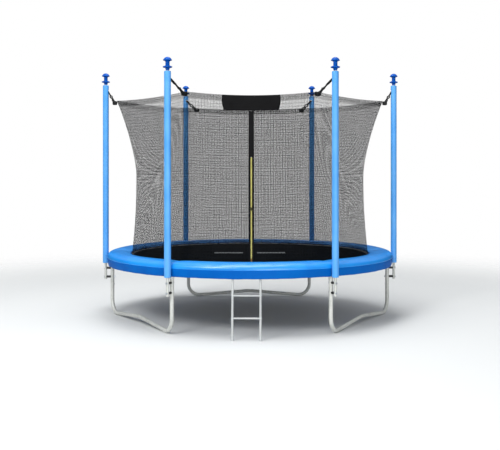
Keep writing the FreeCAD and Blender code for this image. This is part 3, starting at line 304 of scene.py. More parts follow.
materials = {
    "steel": galvanisedSteel(),
    "zinc": brightZinc(),
    "paint": powderCoat(),
    "pad": coatedFabric("padVinyl", ("#007AD0", "#0084DA", "#048DE2"), 0.24, 0.7),
    # The skirt's vinyl is the pad's own vinyl painted darker. This is painted shade for the pad's outer side,
    # which gets less light than its top. The piping uses this darker copy too.
    "skirt": coatedFabric("shadedSkirtVinyl", ("#0050A2", "#0058AA", "#0060B2"), 0.45, 0.05),
    "sleeve": coatedFabric("sleeveVinyl", ("#4290D8", "#509ADE", "#5EA4E2"), 0.3, 0.4),
    "cap": mouldedPlastic("capPlastic", ("#004294", "#004CA2"), 0.3, 0.1),
    "saddle": mouldedPlastic("saddlePlastic", ("#141516", "#1D1E20"), 0.42),
    "clip": mouldedPlastic("clipNylon", ("#0C0D0E", "#141516"), 0.45, 0.3),
    "mat": matWeave(),
    "webbing": wovenCloth("webbingCloth", ("#131415", "#222425"), 2.5 * mm, 0.3 * mm, 0.7, 0.2),
    "net": wovenCloth("netYarn", ("#0E0F10", "#161718"), 1.2 * mm, 0.1 * mm, 0.8, 0.0, 0.1),
    "door": wovenCloth("doorCloth", ("#0A0A0B", "#121213"), 1.6 * mm, 0.15 * mm, 0.8, 0.0, 0.1),
    "elastic": wovenCloth("elasticBraid", ("#080808", "#121213"), 2.0 * mm, 0.35 * mm, 0.75, 0.05),
    "coil": mouldedPlastic("coilNylon", ("#BDB45A", "#D3CC78"), 0.35),
    "foam": foam(),
    "brass": sliderMetal("antiqueBrass", ("#5A3E22", "#8F6A3C")),
    "blackZinc": sliderMetal("blackZinc", ("#131313", "#2B2B2B")),
    "rubber": mouldedPlastic("footRubber", ("#A2A5A6", "#B2B5B6"), 0.55),
}
print("materials made:", len(materials))


# Mesh helpers
def turned(azimuth):
    return Matrix.Rotation(math.radians(azimuth), 4, "Z")


def vertsIn(parts):
    return [part for part in parts if isinstance(part, bmesh.types.BMVert)]


def toMesh(bm, name):
    data = bpy.data.meshes.new(name)
    bm.to_mesh(data)
    bm.free()
    return data


def azimuthOf(vert):
    return math.atan2(vert.co.x, -vert.co.y)


def moveAll(bm, matrix):
    bmesh.ops.transform(bm, matrix=matrix, verts=bm.verts[:])


def closeUp(bm):
    bmesh.ops.remove_doubles(bm, verts=bm.verts[:], dist=0.01 * mm)
    bmesh.ops.recalc_face_normals(bm, faces=bm.faces[:])


def makePiece(name, bm, material, sharpAngle=40):
    return placeMesh(name, toMesh(bm, name), material, sharpAngle)


def placeMesh(name, mesh, material, sharpAngle):
    mesh.materials.append(materials[material])
    mesh.shade_smooth()
    mesh.set_sharp_from_angle(angle=math.radians(sharpAngle))
    piece = linkObject(name, mesh)
    return piece


def giveThickness(piece, thickness, offset=-1.0):
    wall = piece.modifiers.new("thickness", "SOLIDIFY")
    wall.thickness = thickness
    wall.offset = offset
    wall.use_even_offset = True


def subdivide(piece, levels):
    smooth = piece.modifiers.new("smooth", "SUBSURF")
    smooth.levels = levels
    smooth.render_levels = levels


def uprightPath(path):
    # (radius, height) pairs in the plane of azimuth 0
    return [Vector((0, -radius, height)) for radius, height in path]


def spinProfile(bm, points, steps, closed):
    # points are (radius, height) pairs, spun a full turn about +Z from the front
    verts = [bm.verts.new(point) for point in uprightPath(points)]
    edges = [bm.edges.new(pair) for pair in zip(verts, verts[1:])]
    if closed:
        edges.append(bm.edges.new((verts[-1], verts[0])))
    bmesh.ops.spin(bm, geom=verts + edges, cent=(0, 0, 0), axis=(0, 0, 1), dvec=(0, 0, 0),
                   angle=math.tau, steps=steps, use_merge=True, use_duplicate=False)


def arcPoints(centre, radius, start, end, steps):
    # angles in degrees, 0 outward and 90 up
    angles = [math.radians(start + (end - start) * k / steps) for k in range(steps + 1)]
    return [(centre[0] + radius * math.cos(a), centre[1] + radius * math.sin(a)) for a in angles]


def pathFrames(points, across):
    # one matrix for each point: X across, Z along the path
    frames = []
    for index, point in enumerate(points):
        before = points[max(index - 1, 0)]
        after = points[min(index + 1, len(points) - 1)]
        along = (after - before).normalized()
        normal = along.cross(across).normalized()
        side = normal.cross(along)
        turning = Matrix((side, normal, along)).transposed().to_4x4()
        frames.append(Matrix.Translation(point) @ turning)
    return frames


def sweep(bm, section, points, across):
    # carries a closed section along the points and caps both ends
    frames = pathFrames(points, across)
    verts = [bm.verts.new(frames[0] @ point) for point in section]
    edges = [bm.edges.new((verts[i - 1], verts[i])) for i in range(len(verts))]
    bmesh.ops.contextual_create(bm, geom=edges)
    for before, after in zip(frames, frames[1:]):
        made = bmesh.ops.extrude_edge_only(bm, edges=edges)["geom"]
        edges = [part for part in made if isinstance(part, bmesh.types.BMEdge)]
        bmesh.ops.transform(bm, matrix=after @ before.inverted(), verts=vertsIn(made))
    bmesh.ops.contextual_create(bm, geom=edges)


def roundSection(radius, sides):
    angles = [math.tau * k / sides for k in range(sides)]
    return [Vector((radius * math.cos(a), radius * math.sin(a), 0)) for a in angles]


def strapSection(width, thickness):
    # flat with eased edges
    ease = thickness * 0.35
    halfWidth = width / 2
    half = thickness / 2
    corners = [(halfWidth - ease, -half), (halfWidth, -half + ease),
               (halfWidth, half - ease), (halfWidth - ease, half)]
    return [Vector((x, y, 0)) for x, y in corners] + [Vector((-x, -y, 0)) for x, y in corners]


def joinPart(bm, part, azimuth):
    # adds a separate bmesh, turned to its azimuth
    moveAll(part, turned(azimuth))
    data = toMesh(part, "part")
    bm.from_mesh(data)
    bpy.data.meshes.remove(data)


def copyAround(bm, azimuths):
    # repeats the whole bmesh at each azimuth and removes the first
    first = bm.verts[:] + bm.edges[:] + bm.faces[:]
    for azimuth in azimuths:
        made = bmesh.ops.duplicate(bm, geom=first)["geom"]
        bmesh.ops.transform(bm, matrix=turned(azimuth), verts=vertsIn(made))
    bmesh.ops.delete(bm, geom=vertsIn(first), context="VERTS")


# Safety net: the same surface as the frame's, worked out for many points at once
net = {
    "strapSpans": [0.245, 0.245, 0.097, 0.252, 0.252, 0.097],
    "waistDepths": [0.049, 0.049, 0.029, 0.049, 0.049, 0.029],
    "waistShare": 0.51,
    "flarePower": 1.5,
    "chordPower": 1.4,
    "frontSag": 30 * mm,
    "sideSag": 14 * mm,
    "seam": 0.3 * mm,
    "topHem": 45 * mm,
    "footHem": 28 * mm,
    "hemOffset": 1.6 * mm,
    "slit": 12 * mm,
}


def cornerRadius(corner, share):
    waist = layout["netFoot"] - net["waistDepths"][corner]
    top = layout["poleRadius"] - net["strapSpans"][corner]
    below = waist + (layout["netFoot"] - waist) * (1 - share / net["waistShare"]) ** 2
    rise = np.clip((share - net["waistShare"]) / (1 - net["waistShare"]), 0, None)
    above = waist + (top - waist) * rise ** net["flarePower"]
    return np.where(share < net["waistShare"], below, above)


def netPlan(panel, across, share):
    # between a chord at the top and an arc at the foot
    near = cornerRadius(panel, share)
    far = cornerRadius((panel + 1) % legCount, share)
    first = math.radians(legSpacing * (panel - 0.5))
    span = math.radians(legSpacing)
    chordX = near * math.sin(first) * (1 - across) + far * math.sin(first + span) * across
    chordY = -near * math.cos(first) * (1 - across) - far * math.cos(first + span) * across
    arcRadius = near * (1 - across) + far * across
    arcAngle = first + span * across
    straight = np.clip(share, 0, 1) ** net["chordPower"]
    x = chordX * straight + arcRadius * np.sin(arcAngle) * (1 - straight)
    y = chordY * straight - arcRadius * np.cos(arcAngle) * (1 - straight)
    return x, y


def netMiddle(share):
    return np.hypot(*netPlan(0, 0.5, share))


def doorRadius(share):
    foot = netMiddle(np.float64(0))
    return foot + (netMiddle(np.float64(1)) - foot) * share


def netTop(panel, across):
    sag = net["sideSag"] if panel else net["frontSag"]
    return layout["netHigh"] - sag * 4 * across * (1 - across)


def netPoint(panel, across, height, offset):
    share = (height - layout["netLow"]) / (netTop(panel, across) - layout["netLow"])
    x, y = netPlan(panel, across, share)
    if panel == 0:
        y = y - (doorRadius(share) - netMiddle(share)) * (4 * across * (1 - across)) ** 2
    length = np.hypot(x, y)
    return x * (1 + offset / length), y * (1 + offset / length), height


def frontShare(acrossMetres, height):
    # share across the front panel of a point some metres right of its middle
    share = (height - layout["netLow"]) / (netTop(0, 0.5) - layout["netLow"])
    step = 0.01
    width = (netPlan(0, 0.5 + step, share)[0] - netPlan(0, 0.5 - step, share)[0]) / (2 * step)
    return 0.5 + acrossMetres / width


seamShare = net["seam"] / layout["ringRadius"]
panelSides = {
    "whole": lambda height: (seamShare, 1 - seamShare),
    "left": lambda height: (seamShare, frontShare(-net["slit"] / 2, height)),
    "right": lambda height: (frontShare(net["slit"] / 2, height), 1 - seamShare),
}
panelBands = {
    "full": lambda panel, across: (layout["netLow"], netTop(panel, across)),
    "top": lambda panel, across: (netTop(panel, across) - net["topHem"], netTop(panel, across)),
    "foot": lambda panel, across: (layout["netLow"], layout["netLow"] + net["footHem"]),
}


def wrapOnNet(mesh, panel, sides, band):
    # the mesh is flat: x and y are shares from 0 to 1, and z is the distance outward
    flat = np.empty(len(mesh.vertices) * 3)
    mesh.vertices.foreach_get("co", flat)
    across, up, offset = flat.reshape(-1, 3).T
    middleTop = netTop(panel, 0.5)
    low, high = sides(middleTop - (middleTop - layout["netLow"]) * (1 - up))
    place = low + (high - low) * across
    low, high = band(panel, place)
    x, y, z = netPoint(panel, place, low + (high - low) * up, offset)
    mesh.vertices.foreach_set("co", np.stack((x, y, z + 0 * x), axis=1).ravel())
    mesh.update()


# Net fabric: upright and level yarns, drawn as flat ribbons that cross, every seventh one a strong one
netMesh = {
    "panelWidth": 1.06,
    "panelHeight": 1.31,
    "pitch": 3.6 * mm,
    "yarn": 0.9 * mm,
    "hemYarn": 0.7 * mm,
    "strongEvery": 7,
    "strongExtra": 1.1 * mm,
    "layer": 0.2 * mm,
    "piecesUp": 32,
    "piecesAcross": 16,
}


def addYarns(bm, count, total, shift, segments, yarn, strong, level):
    # every other column of a grid is a yarn, and the columns between are taken out
    columns = 2 * count - 1
    share = yarn / netMesh["pitch"]
    extra = strong / netMesh["pitch"]
    verts = bmesh.ops.create_grid(bm, x_segments=columns, y_segments=segments, size=0.5,
                                  matrix=Matrix.Translation((0.5, 0.5, 0)))["verts"]
    faces = {face for vert in verts for face in vert.link_faces}
    openings = [face for face in faces if int(face.calc_center_median().x * columns) % 2]
    for vert in verts:
        index, side = divmod(round(vert.co.x * columns), 2)
        wide = 0 if index % netMesh["strongEvery"] else extra
        place = (index + shift + share * side + wide * (side - 0.5)) / total
        place = min(max(place, 0), 1)
        vert.co = (vert.co.y, place, 0) if level else (place, vert.co.y, netMesh["layer"])
    if level:
        bmesh.ops.reverse_faces(bm, faces=list(faces))
    bmesh.ops.delete(bm, geom=openings, context="FACES")


def netting(width, height, piecesUp, hem):
    bm = bmesh.new()
    pitch = netMesh["pitch"]
    yarn = netMesh["yarn"]
    strong = netMesh["strongExtra"]
    across = round(width / pitch)
    spread = across - 1 + yarn / pitch
    if hem:
        # the hem's yarns lie between those of the panel
        yarn = netMesh["hemYarn"]
        middle = 0.5 + (netMesh["yarn"] - yarn) / pitch / 2
        addYarns(bm, across - 1, spread, middle, piecesUp, yarn, 0, False)
        addYarns(bm, int(height / pitch), height / pitch, 0.5, netMesh["piecesAcross"], yarn, 0, True)
    else:
        up = round(height / pitch)
        addYarns(bm, across, spread, 0, piecesUp, yarn, strong, False)
        addYarns(bm, up, up - 1 + yarn / pitch, 0, netMesh["piecesAcross"], yarn, strong, True)
    return toMesh(bm, "netting")


nettings = {}
for name, width in (("whole", netMesh["panelWidth"]), ("half", netMesh["panelWidth"] / 2)):
    nettings[name + "Panel"] = netting(width, netMesh["panelHeight"], netMesh["piecesUp"], False)
    nettings[name + "Top"] = netting(width, net["topHem"], 2, True)
    nettings[name + "Foot"] = netting(width, net["footHem"], 2, True)
print("netting made:", {name: len(data.polygons) for name, data in nettings.items()})


def netSheet(name, kind, panel, sides, band, offset, nodes):
    data = nettings[kind].copy()
    place = np.empty(len(data.vertices) * 3)
    data.vertices.foreach_get("co", place)
    place[2::3] += offset
    data.vertices.foreach_set("co", place)
    wrapOnNet(data, panel, panelSides[sides], panelBands[band])
    data.name = name
    piece = placeMesh(name, data, "net", 180)
    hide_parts(*nodes)
    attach(piece, "frame")


def netPart(panel, size, sides, label, node):
    # one panel or half panel with its two hems
    netSheet("netPanel" + label, size + "Panel", panel, sides, "full", 0,
             [node])
    for hem in ("Top", "Foot"):
        band = hem.lower()
        netSheet("net" + hem + "Hem" + label, size + hem, panel, sides, band, net["hemOffset"],
                 ["net_hems"])


for panel in range(1, legCount):
    netPart(panel, "whole", "whole", "_" + str(panel), "net_side_panels")
for side in ("left", "right"):
    netPart(0, "half", side, "Front_" + side, "net_front_halves")
for data in list(nettings.values()):
    bpy.data.meshes.remove(data)
print("net made")

# Bare black panel over the door
header = {"width": 450 * mm, "height": 120 * mm, "offset": 2.6 * mm, "thickness": 1.2 * mm, "rim": 7 * mm,
          "puff": 0.8 * mm}


def headerPanel():
    width = header["width"]
    height = header["height"]
    bm = bmesh.new()
    bmesh.ops.create_grid(bm, x_segments=60, y_segments=16, size=0.5)
    moveAll(bm, Matrix.Translation((0.5, 0.5, 0)))
    for vert in bm.verts:
        edge = min(vert.co.x * width, (1 - vert.co.x) * width, vert.co.y * height, (1 - vert.co.y) * height)
        vert.co.z = header["offset"] + header["puff"] * min(edge / header["rim"], 1.0)
    piece = makePiece("headerPanel", bm, "door")

    def sides(level):
        return frontShare(-width / 2, level), frontShare(width / 2, level)

    def band(panel, across):
        return netTop(panel, across) - height, netTop(panel, across)

    wrapOnNet(piece.data, 0, sides, band)
    giveThickness(piece, header["thickness"], 1.0)
    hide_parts("header_panel")
    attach(piece, "frame")


headerPanel()

# Door: everything on it is built upright and then put on the door's leaning line
doorFoot = Vector((0, -float(doorRadius(0.0)), layout["netLow"]))
doorHead = Vector((0, -float(doorRadius(1.0)), float(netTop(0, 0.5))))
doorLean = math.atan2(doorHead.y - doorFoot.y, doorHead.z - doorFoot.z)
doorPlace = Matrix.Translation(doorFoot) @ Matrix.Rotation(-doorLean, 4, "X")
doorLength = (doorHead - doorFoot).length
door = {
    "flapWidth": 42 * mm,
    "slot": 11 * mm,
    "foot": 6 * mm,
    "headGap": 1 * mm,
    "zipLength": 815 * mm,
    "flapOut": 1.2 * mm,
    "flapRipple": 0.7 * mm,
    "flapThickness": 1.2 * mm,
    "flapRows": 72,
    "toothPitch": 2.7 * mm,
    "toothReach": 5.4 * mm,
    "toothOverlap": 0.5 * mm,
    "toothHeight": 1.9 * mm,
    "toothShare": 0.62,
    "toothEase": 0.45 * mm,
    "toothOut": 0.2 * mm,
    "tapeWidth": 5.6 * mm,
    "tapeThickness": 0.6 * mm,
    "tapeGap": 0.2 * mm,
}


def doorFlap():
    head = doorLength - header["height"] / math.cos(doorLean) - door["headGap"]
    length = head - door["foot"]
    slotShare = door["slot"] / door["flapWidth"] / 2
    columns = [-0.5, -0.42, -0.3, -slotShare, 0, slotShare, 0.3, 0.42, 0.5]
    count = len(columns) - 1
    bm = bmesh.new()
    bmesh.ops.create_grid(bm, x_segments=count, y_segments=door["flapRows"], size=0.5)
    for vert in bm.verts:
        column = columns[round((vert.co.x + 0.5) * count)]
        station = door["foot"] + (vert.co.y + 0.5) * length
        ripple = noise.noise(Vector((column * 2, 0, station * 6))) * door["flapRipple"]
        vert.co = (column * door["flapWidth"], -door["flapOut"] - abs(ripple), station)
    slotTop = door["foot"] + door["zipLength"]
    inSlot = [face for face in bm.faces if abs(face.calc_center_median().x) < door["slot"] / 2
              and face.calc_center_median().z < slotTop]
    bmesh.ops.delete(bm, geom=inSlot, context="FACES")
    moveAll(bm, doorPlace)
    piece = makePiece("doorFlap", bm, "door")
    giveThickness(piece, door["flapThickness"], 1.0)
    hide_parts("door_flap")
    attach(piece, "frame")


def zipTape():
    bm = bmesh.new()
    gap = door["tapeGap"]
    size = (door["tapeWidth"] - gap, door["tapeThickness"], door["zipLength"])
    for side in (-1, 1):
        tape = bmesh.ops.create_cube(bm, size=1)["verts"]
        bmesh.ops.scale(bm, vec=size, verts=tape)
        across = side * (door["tapeWidth"] + gap) / 2
        middle = door["foot"] + door["zipLength"] / 2
        bmesh.ops.translate(bm, vec=(across, door["tapeThickness"], middle), verts=tape)
    moveAll(bm, doorPlace)
    piece = makePiece("zipTape", bm, "door")
    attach(piece, "frame")


def zipTeeth():
    # one small tooth for each turn of the coil on each side
    bm = bmesh.new()
    pitch = door["toothPitch"]
    tooth = bmesh.ops.create_cube(bm, size=1)["verts"]
    reach = door["toothReach"] + door["toothOverlap"]
    bmesh.ops.scale(bm, vec=(reach, door["toothHeight"], pitch * door["toothShare"]), verts=tooth)
    long = [edge for edge in bm.edges if abs(edge.verts[0].co.x - edge.verts[1].co.x) > reach / 2]
    bmesh.ops.bevel(bm, geom=long, offset=door["toothEase"], offset_type="OFFSET", segments=1, profile=0.5,
                    affect="EDGES", material=-1)
    pattern = bm.verts[:] + bm.edges[:] + bm.faces[:]
    for index in range(int(door["zipLength"] / pitch)):
        for side in (-1, 1):
            made = bmesh.ops.duplicate(bm, geom=pattern)["geom"]
            station = door["foot"] + pitch * (index + 0.5 + 0.25 * side)
            across = side * (door["toothReach"] - door["toothOverlap"]) / 2
            bmesh.ops.translate(bm, vec=(across, -door["toothOut"], station), verts=vertsIn(made))
    bmesh.ops.delete(bm, geom=vertsIn(pattern), context="VERTS")
    moveAll(bm, doorPlace)
    piece = makePiece("zipTeeth", bm, "coil")
    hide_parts("zip_coil")
    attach(piece, "frame")


doorFlap()
zipTape()
zipTeeth()
print("door made")

# Jumping mat with its webbing edge
matPiece = {"thickness": 1.6 * mm, "rings": 24, "steps": 144}
webbing = {
    "inner": 34 * mm,
    "outer": 2 * mm,
    "lift": 2.4 * mm,
    "wall": 1.3 * mm,
    "loopWidth": 22 * mm,
    "loopThickness": 1.5 * mm,
    "loopLift": 1 * mm,
    "loopStart": 16 * mm,
    "loopBend": 3 * mm,
    "loopTurn": 3.1 * mm,
    "ringBase": 1049.77 * mm,
}
springAzimuths = evenAzimuths(48)


def jumpingMat():
    radius = layout["matRadius"]
    bm = bmesh.new()
    points = [(radius * k / matPiece["rings"], layout["matTop"]) for k in range(matPiece["rings"] + 1)]
    spinProfile(bm, points, matPiece["steps"], False)
    closeUp(bm)
    if bm.faces[0].normal.z < 0:
        bmesh.ops.reverse_faces(bm, faces=bm.faces[:])
    piece = makePiece("jumpingMat", bm, "mat")
    giveThickness(piece, matPiece["thickness"])
    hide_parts("jumping_mat")
    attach(piece, "mat")


def matWebbing():
    # one band folded round the mat's edge, and a short loop for each ring
    inner = layout["matRadius"] - webbing["inner"]
    outer = layout["matRadius"] + webbing["outer"]
    lift = webbing["lift"]
    middle = layout["springHeight"]
    bm = bmesh.new()
    points = [(inner, middle + lift)] + arcPoints((outer - lift, middle), lift, 90, -90, 8)
    spinProfile(bm, points + [(inner, middle - lift)], 192, False)
    closeUp(bm)
    piece = makePiece("matWebbing", bm, "webbing")
    giveThickness(piece, webbing["wall"], 0.0)
    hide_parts("mat_edge_webbing")
    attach(piece, "mat")
    bm = bmesh.new()
    rise = lift + webbing["loopLift"]
    start = outer - webbing["loopStart"]
    bend = outer - webbing["loopBend"]
    path = [(start, middle + rise), (bend, middle + rise)]
    path += arcPoints((webbing["ringBase"], middle), webbing["loopTurn"], 90, -90, 8)
    path += [(bend, middle - rise), (start, middle - rise)]
    sweep(bm, strapSection(webbing["loopWidth"], webbing["loopThickness"]), uprightPath(path), axisX)
    closeUp(bm)
    copyAround(bm, springAzimuths)
    loops = makePiece("matLoops", bm, "webbing")
    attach(loops, "mat")


jumpingMat()
matWebbing()
print("mat made")

# Extension springs: a closed coil of wire with a hook at each end.
# Its bends are (distance outward, rise): at the coil the rise is a share of the coil's radius.
spring = {
    "wire": 1.6 * mm,
    "wireSides": 6,
    "coilRadius": 7.8 * mm,
    "turns": 25,
    "stepsPerTurn": 12,
    "start": 1095.8 * mm,
    "end": 1178.8 * mm,
    "bend": ((-1 * mm, 1), (1.5 * mm, 0.75), (2.5 * mm, 0.3), (4 * mm, 0)),
    "hookRadius": 5.0 * mm,
    "hookOffset": 7 * mm,
    "hookTurn": 250,
    "hookSteps": 14,
    "tip": 1192.3 * mm,
    "tipPath": ((-2 * mm, 0), (-0.6 * mm, -0.6 * mm), (0, -2 * mm), (0, -13 * mm)),
    "blendGap": 6 * mm,
}


def springMesh():
    height = layout["springHeight"]
    start = spring["start"]
    end = spring["end"]
    rise = spring["coilRadius"]
    steps = spring["turns"] * spring["stepsPerTurn"]
    bm = bmesh.new()
    place = Matrix.Translation((0, -start, height + rise)) @ Matrix.Rotation(math.radians(90), 4, "Y")
    made = bmesh.ops.create_circle(bm, cap_ends=False, radius=spring["wire"], segments=spring["wireSides"],
                                   matrix=place)["verts"]
    edges = list({edge for vert in made for edge in vert.link_edges})
    bmesh.ops.spin(bm, geom=made + edges, cent=(0, -start, height), axis=(0, -1, 0),
                   dvec=(0, (start - end) / steps, 0), angle=math.tau * spring["turns"], steps=steps,
                   use_merge=False, use_duplicate=False)
    section = roundSection(spring["wire"], spring["wireSides"])
    hook = [(start - out, height + rise * share) for out, share in spring["bend"]]
    sweep(bm, section, uprightPath(hook), axisX)
    loop = [Vector((0, -start, height))]
    radius = spring["hookRadius"]
    for step in range(spring["hookSteps"] + 1):
        angle = math.radians(-90 - spring["hookTurn"] * step / spring["hookSteps"])
        loop.append(Vector((radius * math.cos(angle), spring["hookOffset"] - start + radius * math.sin(angle),
                            height)))
    sweep(bm, section, loop, axisZ)
    tail = [(end + out, height + rise * share) for out, share in spring["bend"]]
    tail += [(spring["tip"] + out, height + drop) for out, drop in spring["tipPath"]]
    sweep(bm, section, uprightPath(tail), axisX)
    bmesh.ops.recalc_face_normals(bm, faces=bm.faces[:])
    return toMesh(bm, "spring")


springData = springMesh()
for index, azimuth in enumerate(springAzimuths):
    data = springData.copy()
    data.transform(turned(azimuth))
    piece = placeMesh("spring_" + str(index + 1), data, "zinc", 70)
    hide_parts("springs")
    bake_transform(piece)
bpy.data.meshes.remove(springData)
print("springs made")

# Safety pad: a foam ring in coated fabric that rounds over the steel ring, with piping and a skirt below
pad = {
    "steps": 288,
    "innerDrop": 10 * mm,
    "innerRun": 7 * mm,
    "crestRise": 3 * mm,
    "crestSteps": 10,
    "shoulder": 46 * mm,
    "seamHeight": 506 * mm,
    "lobeLow": 482 * mm,
    "hollow": ((1224.6 * mm, 512 * mm), (1222 * mm, 526 * mm)),
    "flatOuter": 1214 * mm,
    "flatSteps": 6,
    "ringInner": 1206 * mm,
    "ringOuter": 1226 * mm,
    "ringTop": 530 * mm,
    "wave": 2.2 * mm,
    "waveFade": 20 * mm,
    "seamPinch": 2.2 * mm,
    "seamDegrees": 0.7,
    "piping": 3.2 * mm,
    "pressure": 3.0,
    "frames": 18,
    "cap": 7 * mm,
}
# Its skirt: the ladder's rails hang inside it and push its edge out a little there
skirt = {
    "inset": 1.2 * mm,
    "below": 4 * mm,
    "rows": 9,
    "steps": 360,
    "ripple": 1.5 * mm,
    "pull": 7.5 * mm,
    "droop": 2 * mm,
    "thickness": 1.0 * mm,
    "ladderHalf": 8,
    "ladderFade": 7,
    "ladderPush": 3.5 * mm,
}


def padProfile():
    # (radius, height) round the section, starting at the inner seam and going over the top
    inner = layout["padInner"] + pad["piping"]
    outer = layout["padOuter"] - 0.5 * mm
    low = layout["padLow"] + 0.3 * mm
    high = layout["padHigh"] + pad["crestRise"]
    start = layout["padHigh"] - pad["innerDrop"]
    seam = pad["seamHeight"]
    points = [(inner, low + 2 * mm), (inner + 2.5 * mm, start - 2 * mm)]
    crest = outer - pad["shoulder"]
    first = inner + pad["innerRun"]
    for k in range(pad["crestSteps"] + 1):
        share = k / pad["crestSteps"]
        rise = (high - start) * math.sin(math.pi / 2 * share)
        points.append((first + (crest - first) * share, start + rise))
    drop = high - seam - 2 * mm
    turns = [math.radians(angle) for angle in range(10, 91, 10)]
    points += [(crest + pad["shoulder"] * math.sin(a), high - drop * (1 - math.cos(a))) for a in turns]
    points += [(outer - 1 * mm, seam - 1 * mm), (outer - 3.5 * mm, seam - 4 * mm),
               (outer - 3.5 * mm, pad["lobeLow"] + 4 * mm), (outer - 5 * mm, pad["lobeLow"]),
               (pad["hollow"][0][0], pad["lobeLow"] + 3 * mm), *pad["hollow"], (pad["flatOuter"], low)]
    for k in range(1, pad["flatSteps"] + 1):
        run = (inner + 8 * mm - pad["flatOuter"]) * k / pad["flatSteps"]
        points.append((pad["flatOuter"] + run, low))
    return points


def padWave(azimuth):
    # slow unevenness round the ring, the same at both ends of the turn
    around = Vector((math.cos(azimuth) * 9, math.sin(azimuth) * 9, 0.5))
    return pad["wave"] * noise.noise(around)


def padCover():
    points = padProfile()
    bm = bmesh.new()
    spinProfile(bm, points, pad["steps"], True)
    closeUp(bm)
    piece = makePiece("padCover", bm, "pad", 180)
    inner = points[0][0]
    seamLow = layout["padLow"] + 1.5 * mm
    group = piece.vertex_groups.new(name="held")
    for vert in piece.data.vertices:
        radius = math.hypot(vert.co.x, vert.co.y)
        azimuth = azimuthOf(vert)
        onSeam = abs((math.degrees(azimuth)) % legSpacing - legSpacing / 2) < pad["seamDegrees"]
        if onSeam and vert.co.z > seamLow and radius < layout["padOuter"] - 3 * mm:
            vert.co.z -= pad["seamPinch"]
        if radius < inner + pad["waveFade"]:
            vert.co.z += padWave(azimuth) * (1 - (radius - inner) / pad["waveFade"])
        held = onSeam or radius < inner + 1 * mm or vert.co.z < max(seamLow, pad["lobeLow"] + 12 * mm)
        overRing = pad["ringInner"] < radius < pad["ringOuter"] and vert.co.z < pad["ringTop"]
        group.add([vert.index], 1.0 if held or overRing else 0.0, "REPLACE")
    swell(piece)
    subdivide(piece, 1)
    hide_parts("pad_cover", "pad_foam")
    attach(piece, "frame")


def swell(piece):
    # blows the cover up with Blender's Cloth, limits how far each point may move and drops the modifier
    rest = np.array([vert.co for vert in piece.data.vertices], float)
    cloth = piece.modifiers.new("cloth", "CLOTH")
    cloth.settings.quality = 4
    cloth.settings.mass = 0.4
    cloth.settings.tension_stiffness = 20
    cloth.settings.compression_stiffness = 20
    cloth.settings.bending_stiffness = 2
    cloth.settings.use_pressure = True
    cloth.settings.uniform_pressure_force = pad["pressure"]
    cloth.settings.effector_weights.gravity = 0
    cloth.settings.vertex_group_mass = "held"
    cloth.collision_settings.use_collision = False
    cloth.point_cache.frame_end = pad["frames"]
    scene = bpy.context.scene
    for step in range(1, pad["frames"] + 1):
        scene.frame_set(step)
    shaped = piece.evaluated_get(bpy.context.evaluated_depsgraph_get()).to_mesh()
    swollen = np.array([vert.co for vert in shaped.vertices], float)
    piece.modifiers.remove(cloth)
    scene.frame_set(1)
    move = swollen - rest
    length = np.linalg.norm(move, axis=1, keepdims=True)
    move *= np.minimum(1, pad["cap"] / np.maximum(length, 1e-9))
    kept = rest + move
    radius = np.hypot(kept[:, 0], kept[:, 1])
    most = layout["padOuter"] - 0.2 * mm
    kept[:, :2] *= np.minimum(1, most / radius)[:, None]
    piece.data.vertices.foreach_set("co", kept.ravel())
    piece.data.update()
    print("pad swelled by up to", round(float(length.max()) * 1000, 1), "mm")


def padPiping():
    # round cord on the inner seam
    inner, height = padProfile()[0]
    bm = bmesh.new()
    centre = (inner - pad["piping"] + 0.4 * mm, height - 1 * mm)
    spinProfile(bm, arcPoints(centre, pad["piping"], 0, 315, 7), pad["steps"], True)
    for vert in bm.verts:
        vert.co.z += padWave(azimuthOf(vert))
    closeUp(bm)
    piece = makePiece("padPiping", bm, "skirt")
    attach(piece, "frame")


def padSkirt():
    outer = layout["padOuter"] - skirt["inset"]
    high = pad["seamHeight"]
    low = layout["skirtLow"] - skirt["below"]
    rows = skirt["rows"]
    bm = bmesh.new()
    spinProfile(bm, [(outer, high + (low - high) * k / rows) for k in range(rows + 1)], skirt["steps"], False)
    for vert in bm.verts:
        azimuth = azimuthOf(vert)
        hang = (high - vert.co.z) / (high - low)
        ripple = noise.noise(Vector((math.cos(azimuth) * 16, math.sin(azimuth) * 16, 3.0)))
        free = min(1, max(0, (abs(math.degrees(azimuth)) - skirt["ladderHalf"]) / skirt["ladderFade"]))
        pulled = (skirt["ripple"] * ripple * hang + skirt["pull"] * hang ** 2) * free
        inward = 1 - (pulled - skirt["ladderPush"] * hang * (1 - free)) / outer
        vert.co.x *= inward
        vert.co.y *= inward
        vert.co.z += skirt["droop"] * ripple * hang
    closeUp(bm)
    # its darker vinyl is painted shade for the pad's outer side
    piece = makePiece("padSkirt", bm, "skirt")
    giveThickness(piece, skirt["thickness"], 0.0)
    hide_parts("pad_skirt")
    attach(piece, "frame")


padCover()
padPiping()
padSkirt()
print("pad made")

# Net poles: sewn sleeve round a foam tube, open below, with a slot for the elastic loop
sleeve = {
    "radius": 26 * mm,
    "wall": 1.0 * mm,
    "rounding": 8 * mm,
    "mouth": 11.6 * mm,
    "sides": 48,
    "rows": 46,
    "firstRow": 12 * mm,
    "slotHeight": 1945 * mm,
    "slotHalf": 9 * mm,
    "slotFaces": 3,
    "seam": 0.3 * mm,
    "seamPlace": math.radians(150),
    "seamHalf": math.radians(7),
    "dent": 0.55 * mm,
}
poleFoam = {"inner": 11.4 * mm, "outer": 24.6 * mm, "ease": 1.5 * mm, "lowGap": 3 * mm, "highGap": 9 * mm}


